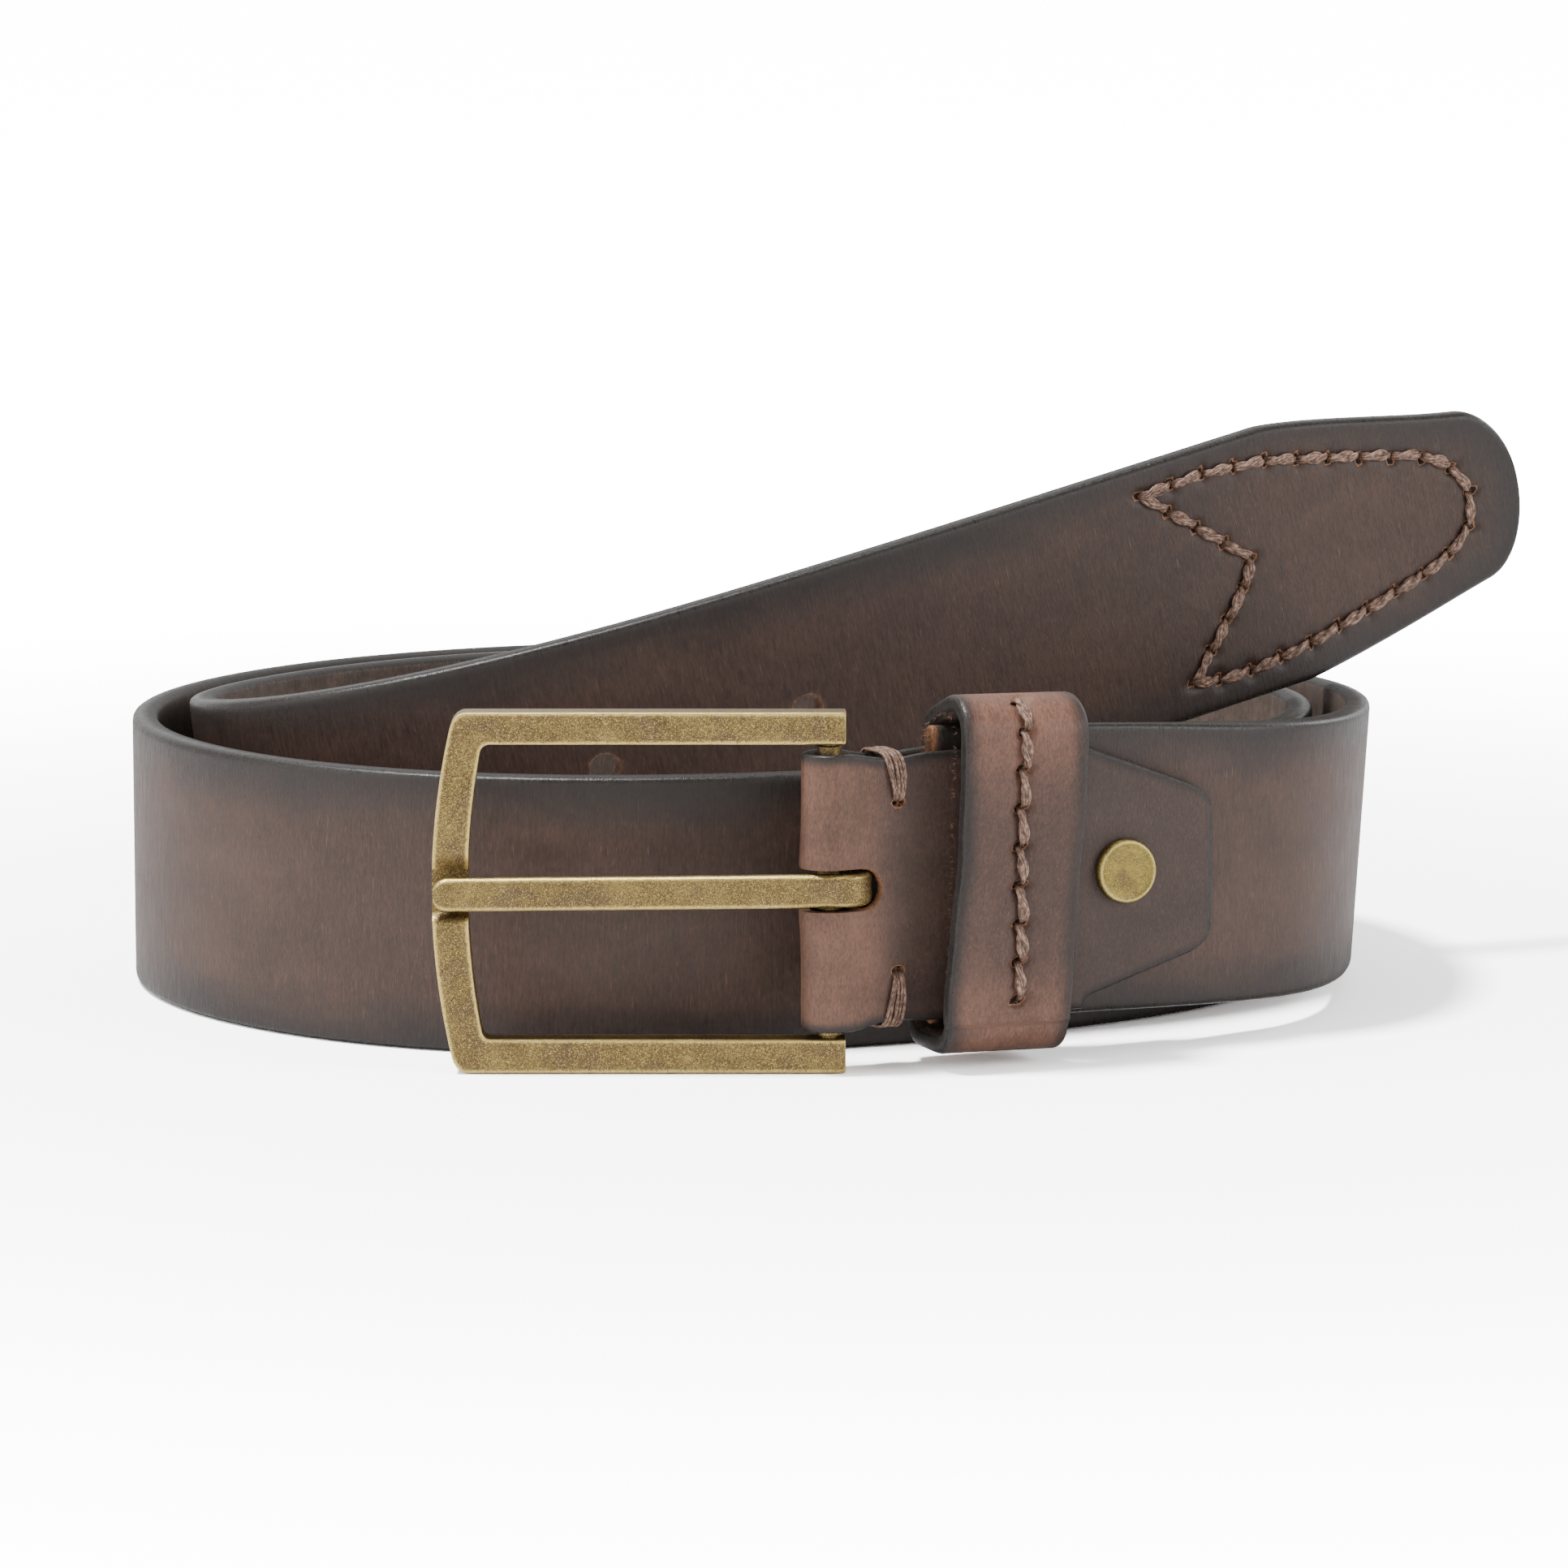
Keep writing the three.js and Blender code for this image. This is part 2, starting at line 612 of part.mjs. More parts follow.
// The keeper's own frame: X along the strap, Y across, Z out, tilted a little in its own plane.
function keeperMatrix() {
  const tilt = new THREE.Matrix4().makeRotationZ(-radians(KEEPER_TILT));
  return strapMatrix(KEEPER_FROM + KEEPER_WIDTH / 2, 0, 0).multiply(tilt);
}

function keeperSeamPoint(k) {
  const step = (KEEPER_SEAM.to - KEEPER_SEAM.from) / KEEPER_STITCHES;
  return [KEEPER_SEAM.shift + (k % 2 ? 0.25 : -0.25), KEEPER_SEAM.from + k * step];
}

function buildKeeper() {
  const [t0, t1] = KEEPER_INNER_T;
  const [w0, w1] = KEEPER_INNER_W;
  const k = KEEPER_LEATHER;
  const ring = roundedRectangle(
    new THREE.Shape(),
    w0 - k,
    w1 + k,
    t0 - k,
    t1 + k,
    KEEPER_CORNER,
  );
  ring.holes.push(roundedRectangle(new THREE.Path(), w0, w1, t0, t1, KEEPER_CORNER - k));
  const body = new THREE.ExtrudeGeometry(ring, {
    depth: KEEPER_WIDTH - 0.8,
    bevelEnabled: true,
    bevelThickness: 0.4,
    bevelSize: 0.3,
    bevelOffset: -0.3,
    bevelSegments: 1,
    curveSegments: 5,
  });
  // shape X is across the strap, shape Y is outwards, the depth runs along the strap
  body.translate(0, 0, -KEEPER_WIDTH / 2 + 0.4);
  const axes = new THREE.Matrix4().makeBasis(
    new THREE.Vector3(0, 1, 0),
    new THREE.Vector3(0, 0, 1),
    new THREE.Vector3(1, 0, 0),
  );
  body.applyMatrix4(axes);
  const cutters = [];
  for (let i = 0; i <= KEEPER_STITCHES; i++) {
    const [x, y] = keeperSeamPoint(i);
    cutters.push(pocket(new THREE.Matrix4().makeTranslation(x, y, t1 + k), 1.0));
  }
  return cut(body, cutters).applyMatrix4(keeperMatrix());
}

// ---------------------------------------------------------------- stitches

// One visible stitch: a plump thread lying on the face, pointed at both ends.
function stitch(length) {
  const body = new THREE.SphereGeometry(1, 8, 6);
  body.rotateZ(Math.PI / 2);
  return body.scale(length / 2, THREAD_WIDTH / 2, THREAD_HEIGHT / 2);
}

function keeperStitch(i) {
  const [x0, y0] = keeperSeamPoint(i);
  const [x1, y1] = keeperSeamPoint(i + 1);
  const length = Math.hypot(x1 - x0, y1 - y0);
  const body = stitch(length - 0.5);
  body.rotateZ(Math.atan2(y1 - y0, x1 - x0));
  const top = KEEPER_INNER_T[1] + KEEPER_LEATHER;
  body.translate((x0 + x1) / 2, (y0 + y1) / 2, top + THREAD_HEIGHT / 2 + 0.08);
  return body.applyMatrix4(keeperMatrix());
}

function tipStitch({ start, end }) {
  const body = stitch(start.distanceTo(end) - 0.9);
  body.rotateZ(Math.atan2(end.y - start.y, end.x - start.x));
  const t = STRAP_THICKNESS / 2 + THREAD_HEIGHT / 2 + 0.08;
  return body.applyMatrix4(strapMatrix((start.x + end.x) / 2, (start.y + end.y) / 2, t));
}

// ---------------------------------------------------------------- the belt

const belt = new THREE.Group();
belt.name = "leather_belt";
belt.position.set(-ORIGIN.x, -ORIGIN.y, -ORIGIN.z);

function addTo(group, name, geometry, material) {
  const mesh = new THREE.Mesh(geometry, material);
  mesh.name = name;
  group.add(mesh);
}

const strapLeather = leather(0x5a463d, 0.5);
const chapeLeather = leather(0x7a5a4c, 0.55);
const keeperLeather = leather(0x80604f, 0.55);
const waxedThread = leather(0x8a6a58, 0.7);
const agedBrass = brass(0x9c8850, 0.42);
const rivetBrass = brass(0xa6974f, 0.38);

const strapGroup = new THREE.Group();
addTo(strapGroup, "strap", buildStrap(), strapLeather);
addTo(strapGroup, "chape", buildChape(), chapeLeather);
addTo(strapGroup, "rivet_cap", rivetCap(), rivetBrass);
addTo(strapGroup, "rivet_post", rivetPost(), rivetBrass);
addTo(strapGroup, "tack_stitch_upper", tackStitch(1), waxedThread);
addTo(strapGroup, "tack_stitch_lower", tackStitch(-1), waxedThread);
tipSeam.forEach((span, i) => {
  addTo(strapGroup, `tip_stitch_${String(i + 1).padStart(2, "0")}`, tipStitch(span), waxedThread);
});

const buckleGroup = new THREE.Group();
addTo(buckleGroup, "buckle_frame", buildFrame(), agedBrass);
addTo(buckleGroup, "heel_bar", buildBar(), agedBrass);

const prongGroup = new THREE.Group();
addTo(prongGroup, "prong", buildProng(), agedBrass);

const keeperGroup = new THREE.Group();
addTo(keeperGroup, "keeper", buildKeeper(), keeperLeather);
for (let i = 0; i < KEEPER_STITCHES; i++) {
  addTo(keeperGroup, `keeper_stitch_${i + 1}`, keeperStitch(i), waxedThread);
}

belt.add(strapGroup, buckleGroup, prongGroup, keeperGroup);

export default belt;
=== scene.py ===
"""A man's leather belt, coiled and standing on its edge, with an aged brass prong buckle.

Lengths are millimetres inside this script and metres in the meshes. A point on the leather is
given flat as (along, across, outwards) and then bent into place.
"""
import math

import bmesh
import bpy
import numpy as np
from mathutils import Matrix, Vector


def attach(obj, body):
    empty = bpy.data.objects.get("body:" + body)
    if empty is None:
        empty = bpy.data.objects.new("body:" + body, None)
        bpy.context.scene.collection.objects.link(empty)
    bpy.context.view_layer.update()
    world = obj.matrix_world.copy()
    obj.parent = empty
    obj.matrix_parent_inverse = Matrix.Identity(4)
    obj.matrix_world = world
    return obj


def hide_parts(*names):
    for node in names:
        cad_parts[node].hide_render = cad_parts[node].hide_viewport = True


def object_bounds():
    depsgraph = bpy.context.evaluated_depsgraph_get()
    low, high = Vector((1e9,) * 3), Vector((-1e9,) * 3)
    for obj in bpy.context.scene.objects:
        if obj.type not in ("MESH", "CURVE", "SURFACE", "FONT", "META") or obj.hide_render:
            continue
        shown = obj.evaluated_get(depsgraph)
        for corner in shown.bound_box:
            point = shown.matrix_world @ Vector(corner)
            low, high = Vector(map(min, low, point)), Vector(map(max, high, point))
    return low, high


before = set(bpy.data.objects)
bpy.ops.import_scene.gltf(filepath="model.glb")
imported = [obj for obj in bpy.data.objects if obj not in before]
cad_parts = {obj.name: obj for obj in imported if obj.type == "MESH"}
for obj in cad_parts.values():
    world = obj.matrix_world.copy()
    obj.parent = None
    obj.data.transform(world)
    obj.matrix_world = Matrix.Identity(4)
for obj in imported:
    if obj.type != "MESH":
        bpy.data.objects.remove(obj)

CAD_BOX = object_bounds()
MM = 0.001
MERGE = 1e-5
rng = np.random.default_rng(7)

# ---------------------------------------------------------------- dimensions, as in the CAD

ORIGIN = np.array([6.92, 67.84, -0.015])
STRAP_WIDTH = 38.0
STRAP_T = 1.8
STRAP_START = 14.8
STRAP_END = 1038.8
ROUTE_START = (5.6, -4.0, 24.3)
BENDS = np.array([
    [0, 0], [48, 0], [70, 35], [95, 10], [125, 12], [160, 17.5], [205, 9], [255, 9],
    [310, 13.5], [355, 16.5], [400, 15.5], [450, 15], [510, 5.5], [570, 15], [610, 27],
    [645, 13], [680, 5.5], [720, 13.5], [765, 14.5], [800, 17], [825, 27], [850, 31],
    [880, 12.5], [920, 2.5], [970, 0], [1040, 0.5],
])
BUCKLE_LIFT, LIFT_FROM, LIFT_LENGTH = 5.4, 20.0, 175.0
OUTER_LEAN, INNER_LEAN, INNER_LEAN_FROM = 3.5, 6.8, 745.0
SKIVED_INNER, SKIVE_FROM, SKIVE_TO = -0.2, 47.0, 62.0
HOLES = [923.5 - 30 * i for i in range(5)]
HOLE_RADIUS = 2.0
TAPER_FROM, TAPER_HALF, END_CORNER = 1000.0, 11.5, 7.0
LEAF, GAP, CHAPE_HALF = 1.4, 0.3, 18.1
FOLD_T, FOLD_R, FOLD_BLEND = 0.8, 3.0, 13.0
TAB_END, TAB_SHOULDER, TAB_HALF, BACK_LEAF_END = 56.0, 36.5, 8.5, 49.0
SLOT_END, SLOT_HALF, SLOT_W = 6.2, 2.65, 0.45
RIVET_AT, RIVET_W, TACK_AT = 42.5, 0.5, 8.7
TACK_HOLES = {1: 11.8, -1: -10.9}
BAR = (6.0, -4.5)
PRONG_Z = 24.2
KEEPER_FROM, KEEPER_WIDTH, KEEPER_LEATHER, KEEPER_TILT = 14.2, 18.0, 2.4, 1.6
KEEPER_STITCHES = 8
KEEPER_SEAM = (26.5, -14.9, 0.6)
TIP_STITCHES = 30
PLY_OFFSET, PLY_RADIUS, STITCH_DIVE = 0.42, 0.6, 1.2
TIP_SEAM = np.array([
    [979.6, 14.8], [990, 15.2], [1000, 14.2], [1012.5, 11.2], [1024.5, 8], [1029.5, 4.6],
    [1031.3, 0], [1029.8, -4.9], [1024.5, -8.3], [1013, -11], [1000, -13.8], [990, -14.7],
    [981.5, -14.2], [988.5, -7], [995.4, 0.5], [987.4, 7.8],
])

# ---------------------------------------------------------------- the strap's route


def smooth(x):
    u = np.clip(x, 0, 1)
    return u * u * (3 - 2 * u)


def walk_route(step=0.5):
    """Rows of [x, y, z, heading, slope, roll] every half millimetre along the strap."""
    x, y, heading = ROUTE_START[0], ROUTE_START[1], math.radians(ROUTE_START[2])
    lean_heading, climb, rows = heading, 0.0, []
    for s in np.arange(0, STRAP_END + 5 + step / 2, step):
        if s <= INNER_LEAN_FROM:
            lean_heading = heading
        turn = heading - lean_heading
        slope = math.radians(INNER_LEAN) * (1 - math.cos(turn))
        hump = float(smooth(min((s - 55) / 50, (215 - s) / 80)))
        roll = math.radians(INNER_LEAN) * math.sin(turn) + math.radians(OUTER_LEAN) * hump
        lift = BUCKLE_LIFT * (1 - float(smooth((s - LIFT_FROM) / LIFT_LENGTH)))
        rows.append([x, y, STRAP_WIDTH / 2 + lift + climb, heading, slope, roll])
        bend = float(np.interp(s + step / 2, BENDS[:, 0], BENDS[:, 1])) / 1000
        middle = heading + bend * step / 2
        x += math.cos(slope) * math.cos(middle) * step
        y += math.cos(slope) * math.sin(middle) * step
        climb += math.sin(slope) * step
        heading += bend * step
    return np.array(rows)


ROUTE = walk_route()
ROUTE_S = np.arange(len(ROUTE)) * 0.5


def on_strap(p):
    """Bends flat points (along, across, outwards) into the coil."""
    p = np.asarray(p, float).reshape(-1, 3)
    s, w, t = p.T
    x, y, z, heading, slope, roll = (
        np.interp(s, ROUTE_S, ROUTE[:, i])[:, None] for i in range(6)
    )
    zero = np.zeros_like(x)
    along = np.hstack([np.cos(slope) * np.cos(heading), np.cos(slope) * np.sin(heading),
                       np.sin(slope)])
    side = np.hstack([np.sin(heading), -np.cos(heading), zero])
    up = np.cross(side, along)
    across = up * np.cos(roll) + side * np.sin(roll)
    out = side * np.cos(roll) - up * np.sin(roll)
    centre = np.hstack([x, y, z]) + along * np.minimum(s, 0)[:, None]
    return centre + across * w[:, None] + out * t[:, None] - ORIGIN


def inner_face(s):
    return SKIVED_INNER - (STRAP_T + SKIVED_INNER) * smooth(
        (s - SKIVE_FROM) / (SKIVE_TO - SKIVE_FROM))


# ---------------------------------------------------------------- mesh helpers


def skin(rings, closed=False):
    """Points and faces of a skin over rings of points, given as (rings, points, 3)."""
    rings = np.asarray(rings, float)
    n, m = rings.shape[:2]
    faces = []
    for i in range(n if closed else n - 1):
        a, b = i * m, ((i + 1) % n) * m
        faces += [(a + j, a + (j + 1) % m, b + (j + 1) % m, b + j) for j in range(m)]
    if not closed:
        faces += [tuple(range(m))[::-1], tuple(range((n - 1) * m, n * m))]
    return rings.reshape(-1, 3), faces


def run_length(points):
    """How far along a line each of its points lies."""
    return np.concatenate([[0], np.cumsum(np.hypot(*np.diff(points, axis=0).T))])


def columns(*parts):
    return np.stack(np.broadcast_arrays(*parts), 1)


def joined(parts):
    points, faces, at = [], [], 0
    for p, f in parts:
        points.append(p)
        faces += [tuple(i + at for i in face) for face in f]
        at += len(p)
    return np.vstack(points), faces


def to_mesh(name, points, faces, merge=0.0):
    me = bpy.data.meshes.new(name)
    me.from_pydata(np.asarray(points).tolist(), [], faces)
    bm = bmesh.new()
    bm.from_mesh(me)
    if merge:
        bmesh.ops.remove_doubles(bm, verts=bm.verts, dist=merge)
        bmesh.ops.dissolve_degenerate(bm, edges=bm.edges, dist=merge)
    bmesh.ops.recalc_face_normals(bm, faces=bm.faces)
    bm.to_mesh(me)
    bm.free()
    return me


def linked(name, data):
    ob = bpy.data.objects.new(name, data)
    bpy.context.scene.collection.objects.link(ob)
    return ob


def carve(name, points, faces, cutters):
    """The flat body with the cutters taken out of it."""
    ob = linked(name, to_mesh(name, points, faces, MERGE))
    tool = linked(name + "_cut", to_mesh(name + "_cut", *joined(cutters)))
    mod = ob.modifiers.new("cut", "BOOLEAN")
    mod.operation, mod.solver, mod.object = "DIFFERENCE", "EXACT", tool
    bpy.context.view_layer.update()
    done = bpy.data.meshes.new_from_object(
        ob.evaluated_get(bpy.context.evaluated_depsgraph_get()))
    bpy.data.objects.remove(ob)
    bpy.data.objects.remove(tool)
    return done


def positions(me):
    co = np.empty(len(me.vertices) * 3)
    me.vertices.foreach_get("co", co)
    return co.reshape(-1, 3)


def place(name, me, flat, world, material, body, replaces, marks=None, angle=50):
    """Moves a mesh to its place, stores its flat coordinates, and hands it to the frame."""
    me.vertices.foreach_set("co", (np.asarray(world) * MM).ravel())
    me.attributes.new("flat", "FLOAT_VECTOR", "POINT").data.foreach_set(
        "vector", np.asarray(flat, float).ravel())
    for key, values in (marks or {}).items():
        me.attributes.new(key, "FLOAT", "POINT").data.foreach_set(
            "value", np.broadcast_to(np.asarray(values, float), len(flat)).ravel())
    me.update()
    for p in me.polygons:
        p.use_smooth = True
    me.set_sharp_from_angle(angle=math.radians(angle))
    me.materials.clear()
    me.materials.append(material)
    ob = linked(name, me)
    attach(ob, body)
    if replaces:
        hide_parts(*replaces)
    return ob


def plate(stations, half, edge, outer, inner, rows, pinch=None):
    """Rings of a flat leather strip with rounded long edges.

    stations and half give the upper outline; edge is [(inset, share of half thickness)];
    outer and inner are the faces' heights at each station; pinch thins the last stations.
    """
    stations, half = np.asarray(stations, float), np.asarray(half, float)
    ds, dw = np.gradient(stations), np.gradient(half)
    size = np.hypot(ds, dw) + 1e-12
    ns, nw = -dw / size, ds / size
    lines = []

    def at(inset, share, sign):
        s = stations - inset * ns
        w = np.maximum(half - inset * nw, 0) * sign
        q = share * (pinch if pinch is not None else 1)
        return columns(s, w, (outer + inner) / 2 + q * (outer - inner) / 2)

    shares = edge[1:] + [(d, -q) for d, q in edge[-2:0:-1]]
    for sign in (1, -1):
        lines += [at(edge[0][0], sign, 1) * [1, sign * f, 1]
                  for f in np.linspace(-1, 1, rows + 1)]
        lines += [at(d, sign * q, sign) for d, q in shares]
    return np.stack(lines, 1)


def moving_axes(path, normal=None):
    """Two directions across a path at each of its points, the second nearest to normal."""
    d = np.gradient(path, axis=0)
    d /= np.linalg.norm(d, axis=1)[:, None] + 1e-12
    n = np.broadcast_to(np.asarray([0, 0, 1.0] if normal is None else normal), d.shape)
    b = np.cross(d, n)
    b /= np.linalg.norm(b, axis=1)[:, None] + 1e-12
    return b, np.cross(b, d)


def tube(path, radius, sides=8, squash=1.0, normal=None):
    """A round skin along a path; radius may change from point to point."""
    path = np.asarray(path, float)
    b, n = moving_axes(path, normal)
    r = np.broadcast_to(np.asarray(radius, float), len(path))[:, None, None]
    a = np.linspace(0, 2 * np.pi, sides, endpoint=False)[None, :, None]
    return skin(path[:, None] + r * (np.cos(a) * b[:, None] + np.sin(a) * n[:, None] * squash))


def twisted(path, half_width, height, turns):
    """Two plies twisted round a path: the flat thread of one stitch."""
    b, n = moving_axes(path)
    u = np.linspace(0, 1, len(path))
    r = half_width * PLY_OFFSET
    parts = []
    for start in (0, 0.5):
        a = 2 * np.pi * (turns * u + start)
        centre = path + (np.cos(a) * r)[:, None] * b + (np.sin(a) * r * height)[:, None] * n
        parts.append(tube(centre, half_width * PLY_RADIUS, 8, height * 1.1, n))
    return joined(parts)


def rounded_box_ring(width, depth, r, wide_steps, deep_steps):
    """Offsets (across, up) of a rounded rectangle as a closed ring."""
    a, b = width / 2, depth / 2
    pts = []
    corners = [(a - r, b - r, 0), (-a + r, b - r, 90), (-a + r, -b + r, 180), (a - r, -b + r, 270)]
    for i, (cx, cy, start) in enumerate(corners):
        for k in range(4):
            ang = math.radians(start + 30 * k)
            pts.append((cx + r * math.cos(ang), cy + r * math.sin(ang)))
        nx, ny = corners[(i + 1) % 4][:2]
        steps = wide_steps if i % 2 == 0 else deep_steps
        first = pts[-1]
        ang = math.radians(start + 90)
        end = (nx + r * math.cos(ang), ny + r * math.sin(ang))
        side = math.hypot(end[0] - first[0], end[1] - first[1])
        near = [min(0.12 / side, 0.06), min(0.4 / side, 0.15)]
        for k in near + [j / steps for j in range(1, steps)] + [1 - q for q in near[::-1]]:
            pts.append((first[0] + (end[0] - first[0]) * k, first[1] + (end[1] - first[1]) * k))
    return np.array(pts)


# ---------------------------------------------------------------- materials


class Shader:
    """A small helper to wire one material."""

    def __init__(self, name):
        self.mat = bpy.data.materials.new(name)
        self.mat.use_nodes = True
        self.tree = self.mat.node_tree
        self.tree.nodes.clear()
        self.out = self.tree.nodes.new("ShaderNodeOutputMaterial")
        self.bsdf = self.tree.nodes.new("ShaderNodeBsdfPrincipled")
        self.tree.links.new(self.bsdf.outputs[0], self.out.inputs[0])

    def put(self, socket, value):
        if isinstance(value, bpy.types.NodeSocket):
            self.tree.links.new(value, socket)
        elif socket.type == "RGBA":
            socket.default_value = (*value, 1)
        else:
            socket.default_value = value

    def node(self, kind, sockets=(), **settings):
        """A new node with its settings and (socket, value) pairs."""
        node = self.tree.nodes.new("ShaderNode" + kind)
        for key, value in settings.items():
            setattr(node, key, value)
        for key, value in sockets:
            self.put(node.inputs[key], value)
        return node

    def attribute(self, name, vector=False):
        return self.node("Attribute", attribute_name=name).outputs["Vector" if vector else "Fac"]

    def math(self, op, a, b=0.0, clamp=False):
        return self.node("Math", enumerate((a, b)), operation=op, use_clamp=clamp).outputs[0]

    def total(self, *terms):
        """The sum of (value, weight) terms; a bare value counts as it is."""
        parts = [self.math("MULTIPLY", *x) if isinstance(x, tuple) else x for x in terms]
        for i in range(1, len(parts)):
            parts[i] = self.math("ADD", parts[i - 1], parts[i])
        return parts[-1]

    def scale(self, vector, by):
        return self.node("VectorMath", enumerate((vector, by)), operation="MULTIPLY").outputs[0]

    def noise(self, vector, by, detail=3.0, rough=0.5, distort=0.0):
        """Noise of the flat coordinates; by is how many features lie in a millimetre."""
        return self.node("TexNoise", (("Vector", self.scale(vector, by)), ("Scale", 1.0),
                                      ("Detail", detail), ("Roughness", rough),
                                      ("Distortion", distort))).outputs[0]

    def cells(self, vector, by):
        return self.node("TexVoronoi", (("Vector", self.scale(vector, by)),
                                        ("Scale", 1.0))).outputs["Distance"]

    def fit(self, value, low, high, to_low=0.0, to_high=1.0):
        return self.node("MapRange", (("Value", value), ("From Min", low), ("From Max", high),
                                      ("To Min", to_low), ("To Max", to_high)),
                         interpolation_type="SMOOTHSTEP").outputs[0]

    def ramp(self, value, stops):
        node = self.tree.nodes.new("ShaderNodeValToRGB")
        self.put(node.inputs[0], value)
        el = node.color_ramp.elements
        el[0].position, el[0].color = stops[0][0], (*stops[0][1], 1)
        el[1].position, el[1].color = stops[-1][0], (*stops[-1][1], 1)
        for at, colour in stops[1:-1]:
            el.new(at).color = (*colour, 1)
        return node.outputs[0]

    def mix(self, share, a, b):
        return self.node("Mix", ((0, share), (6, a), (7, b)), data_type="RGBA").outputs[2]

    def bump(self, height, strength, distance):
        return self.node("Bump", (("Height", height), ("Strength", strength),
                                  ("Distance", distance))).outputs[0]

    def finish(self, colour, rough, normal, metal=0.0, specular=0.5):
        for key, value in (("Base Color", colour), ("Roughness", rough), ("Normal", normal),
                           ("Metallic", metal), ("Specular IOR Level", specular)):
            self.put(self.bsdf.inputs[key], value)
        return self.mat


FLESH = [(0.32, (0.033, 0.023, 0.018)), (0.52, (0.063, 0.044, 0.034)),
         (0.7, (0.105, 0.075, 0.059))]
EDGE_PAINT = [(0.3, (0.009, 0.0078, 0.007)), (0.7, (0.024, 0.0205, 0.018))]
RAW_CUT_AND_HOLE_SHADE = [(0.36, (0.11, 0.062, 0.04)), (0.5, (0.31, 0.145, 0.07)), (0.72, (0.012, 0.007, 0.005))]
STAIN = (0.095, 0.064, 0.042)


def leather(name, dark, mid, light, warm, burnt, fade, rim, lay, grain=1.0):
    """Burnished leather: streaky pull-up grain, pores, painted edges, fibrous flesh side.

    fade is how far in the burnished border reaches, rim how wide the painted edge is, and lay
    how many streaks lie in a millimetre along and across.
    """
    m = Shader(name)
    flat = m.attribute("flat", vector=True)
    edge, mark = m.attribute("edge"), m.attribute("mark")
    face, wear_and_shade = m.attribute("face"), m.attribute("wear_and_shade")
    cloud = m.noise(flat, (0.045, 0.09, 0.09), 3.0, 0.55, 0.4)
    patch = m.noise(flat, (0.3, 0.16, 0.3), 3.0, 0.6, 0.3)
    streak = m.noise(flat, (*lay, 1.0), 4.0, 0.6, 0.25)
    fibre = m.noise(flat, (lay[0] * 1.5 + 0.5, lay[1] * 1.5 + 0.5, 3.0), 3.0, 0.72, 0.3)
    pore = m.fit(m.cells(flat, (1.9, 1.25, 1.5)), 0.04, 0.2)
    scratch = m.fit(m.noise(flat, (lay[0] * 2.6, lay[1] * 1.6, 1.0), 2.0, 0.5, 0.6), 0.64, 0.72)
    tone = m.total((cloud, 0.24), (patch, 0.12), (streak, 0.26), (fibre, 0.38))
    body = m.ramp(tone, [(0.36, dark), (0.5, mid), (0.64, light)])
    # wear_and_shade lightens the chape's fold and the keeper's bends with pull-up wear; on the
    # strap it is painted shade that darkens the tip lying inside the coil
    wear_and_shade_tone = m.mix(m.fit(tone, 0.40, 0.62), [c * 0.62 for c in warm], [c * 1.36 for c in warm])
    body = m.mix(wear_and_shade, body, wear_and_shade_tone)
    body = m.mix(m.math("MULTIPLY", scratch, 0.5), body, [c * 1.9 for c in light])
    body = m.mix(m.fit(pore, 0.0, 1.0, 0.3, 0.0), body, dark)
    # the dye gets darker towards the edges, and the edge itself is painted and polished
    reach = m.total(edge, (m.math("SUBTRACT", cloud, 0.5), fade * 0.7))
    shade = m.fit(reach, 0.3, fade, 1.0, 0.0)
    shade = m.math("MULTIPLY", shade, m.fit(streak, 0.2, 0.7, 0.95, 0.8))
    body = m.mix(shade, body, burnt)
    ragged = m.total(edge, (m.math("SUBTRACT", fibre, 0.5), rim))
    paint = m.fit(ragged, rim * 0.7, rim * 1.2, 1.0, 0.0)
    body = m.mix(face, m.ramp(m.total((fibre, 0.55), (patch, 0.45)), FLESH), body)
    body = m.mix(paint, body, m.ramp(fibre, EDGE_PAINT))
    # mark gives raw cut colour on cut walls and ends; its top values are painted shade, near black,
    # in the awl holes and tack holes
    raw = m.ramp(m.total((mark, 0.75), (fibre, 0.3)), RAW_CUT_AND_HOLE_SHADE)
    body = m.mix(m.fit(m.total(mark, (fibre, 0.3)), 0.3, 0.62), body, raw)
    rough = m.fit(m.total(streak, (fibre, 0.5)), 0.4, 1.1, 0.4, 0.6)
    rough = m.total(rough, (shade, -0.05), (paint, -0.12),
                    (m.math("SUBTRACT", 1.0, face), 0.3), (mark, 0.3))
    rough = m.math("ADD", rough, 0.0, clamp=True)
    height = m.total((streak, 0.5), (fibre, 0.55), (pore, 0.22), (cloud, 0.8), (scratch, -0.2))
    return m.finish(body, rough, m.bump(height, 0.55, 0.00016 * grain), specular=0.33)


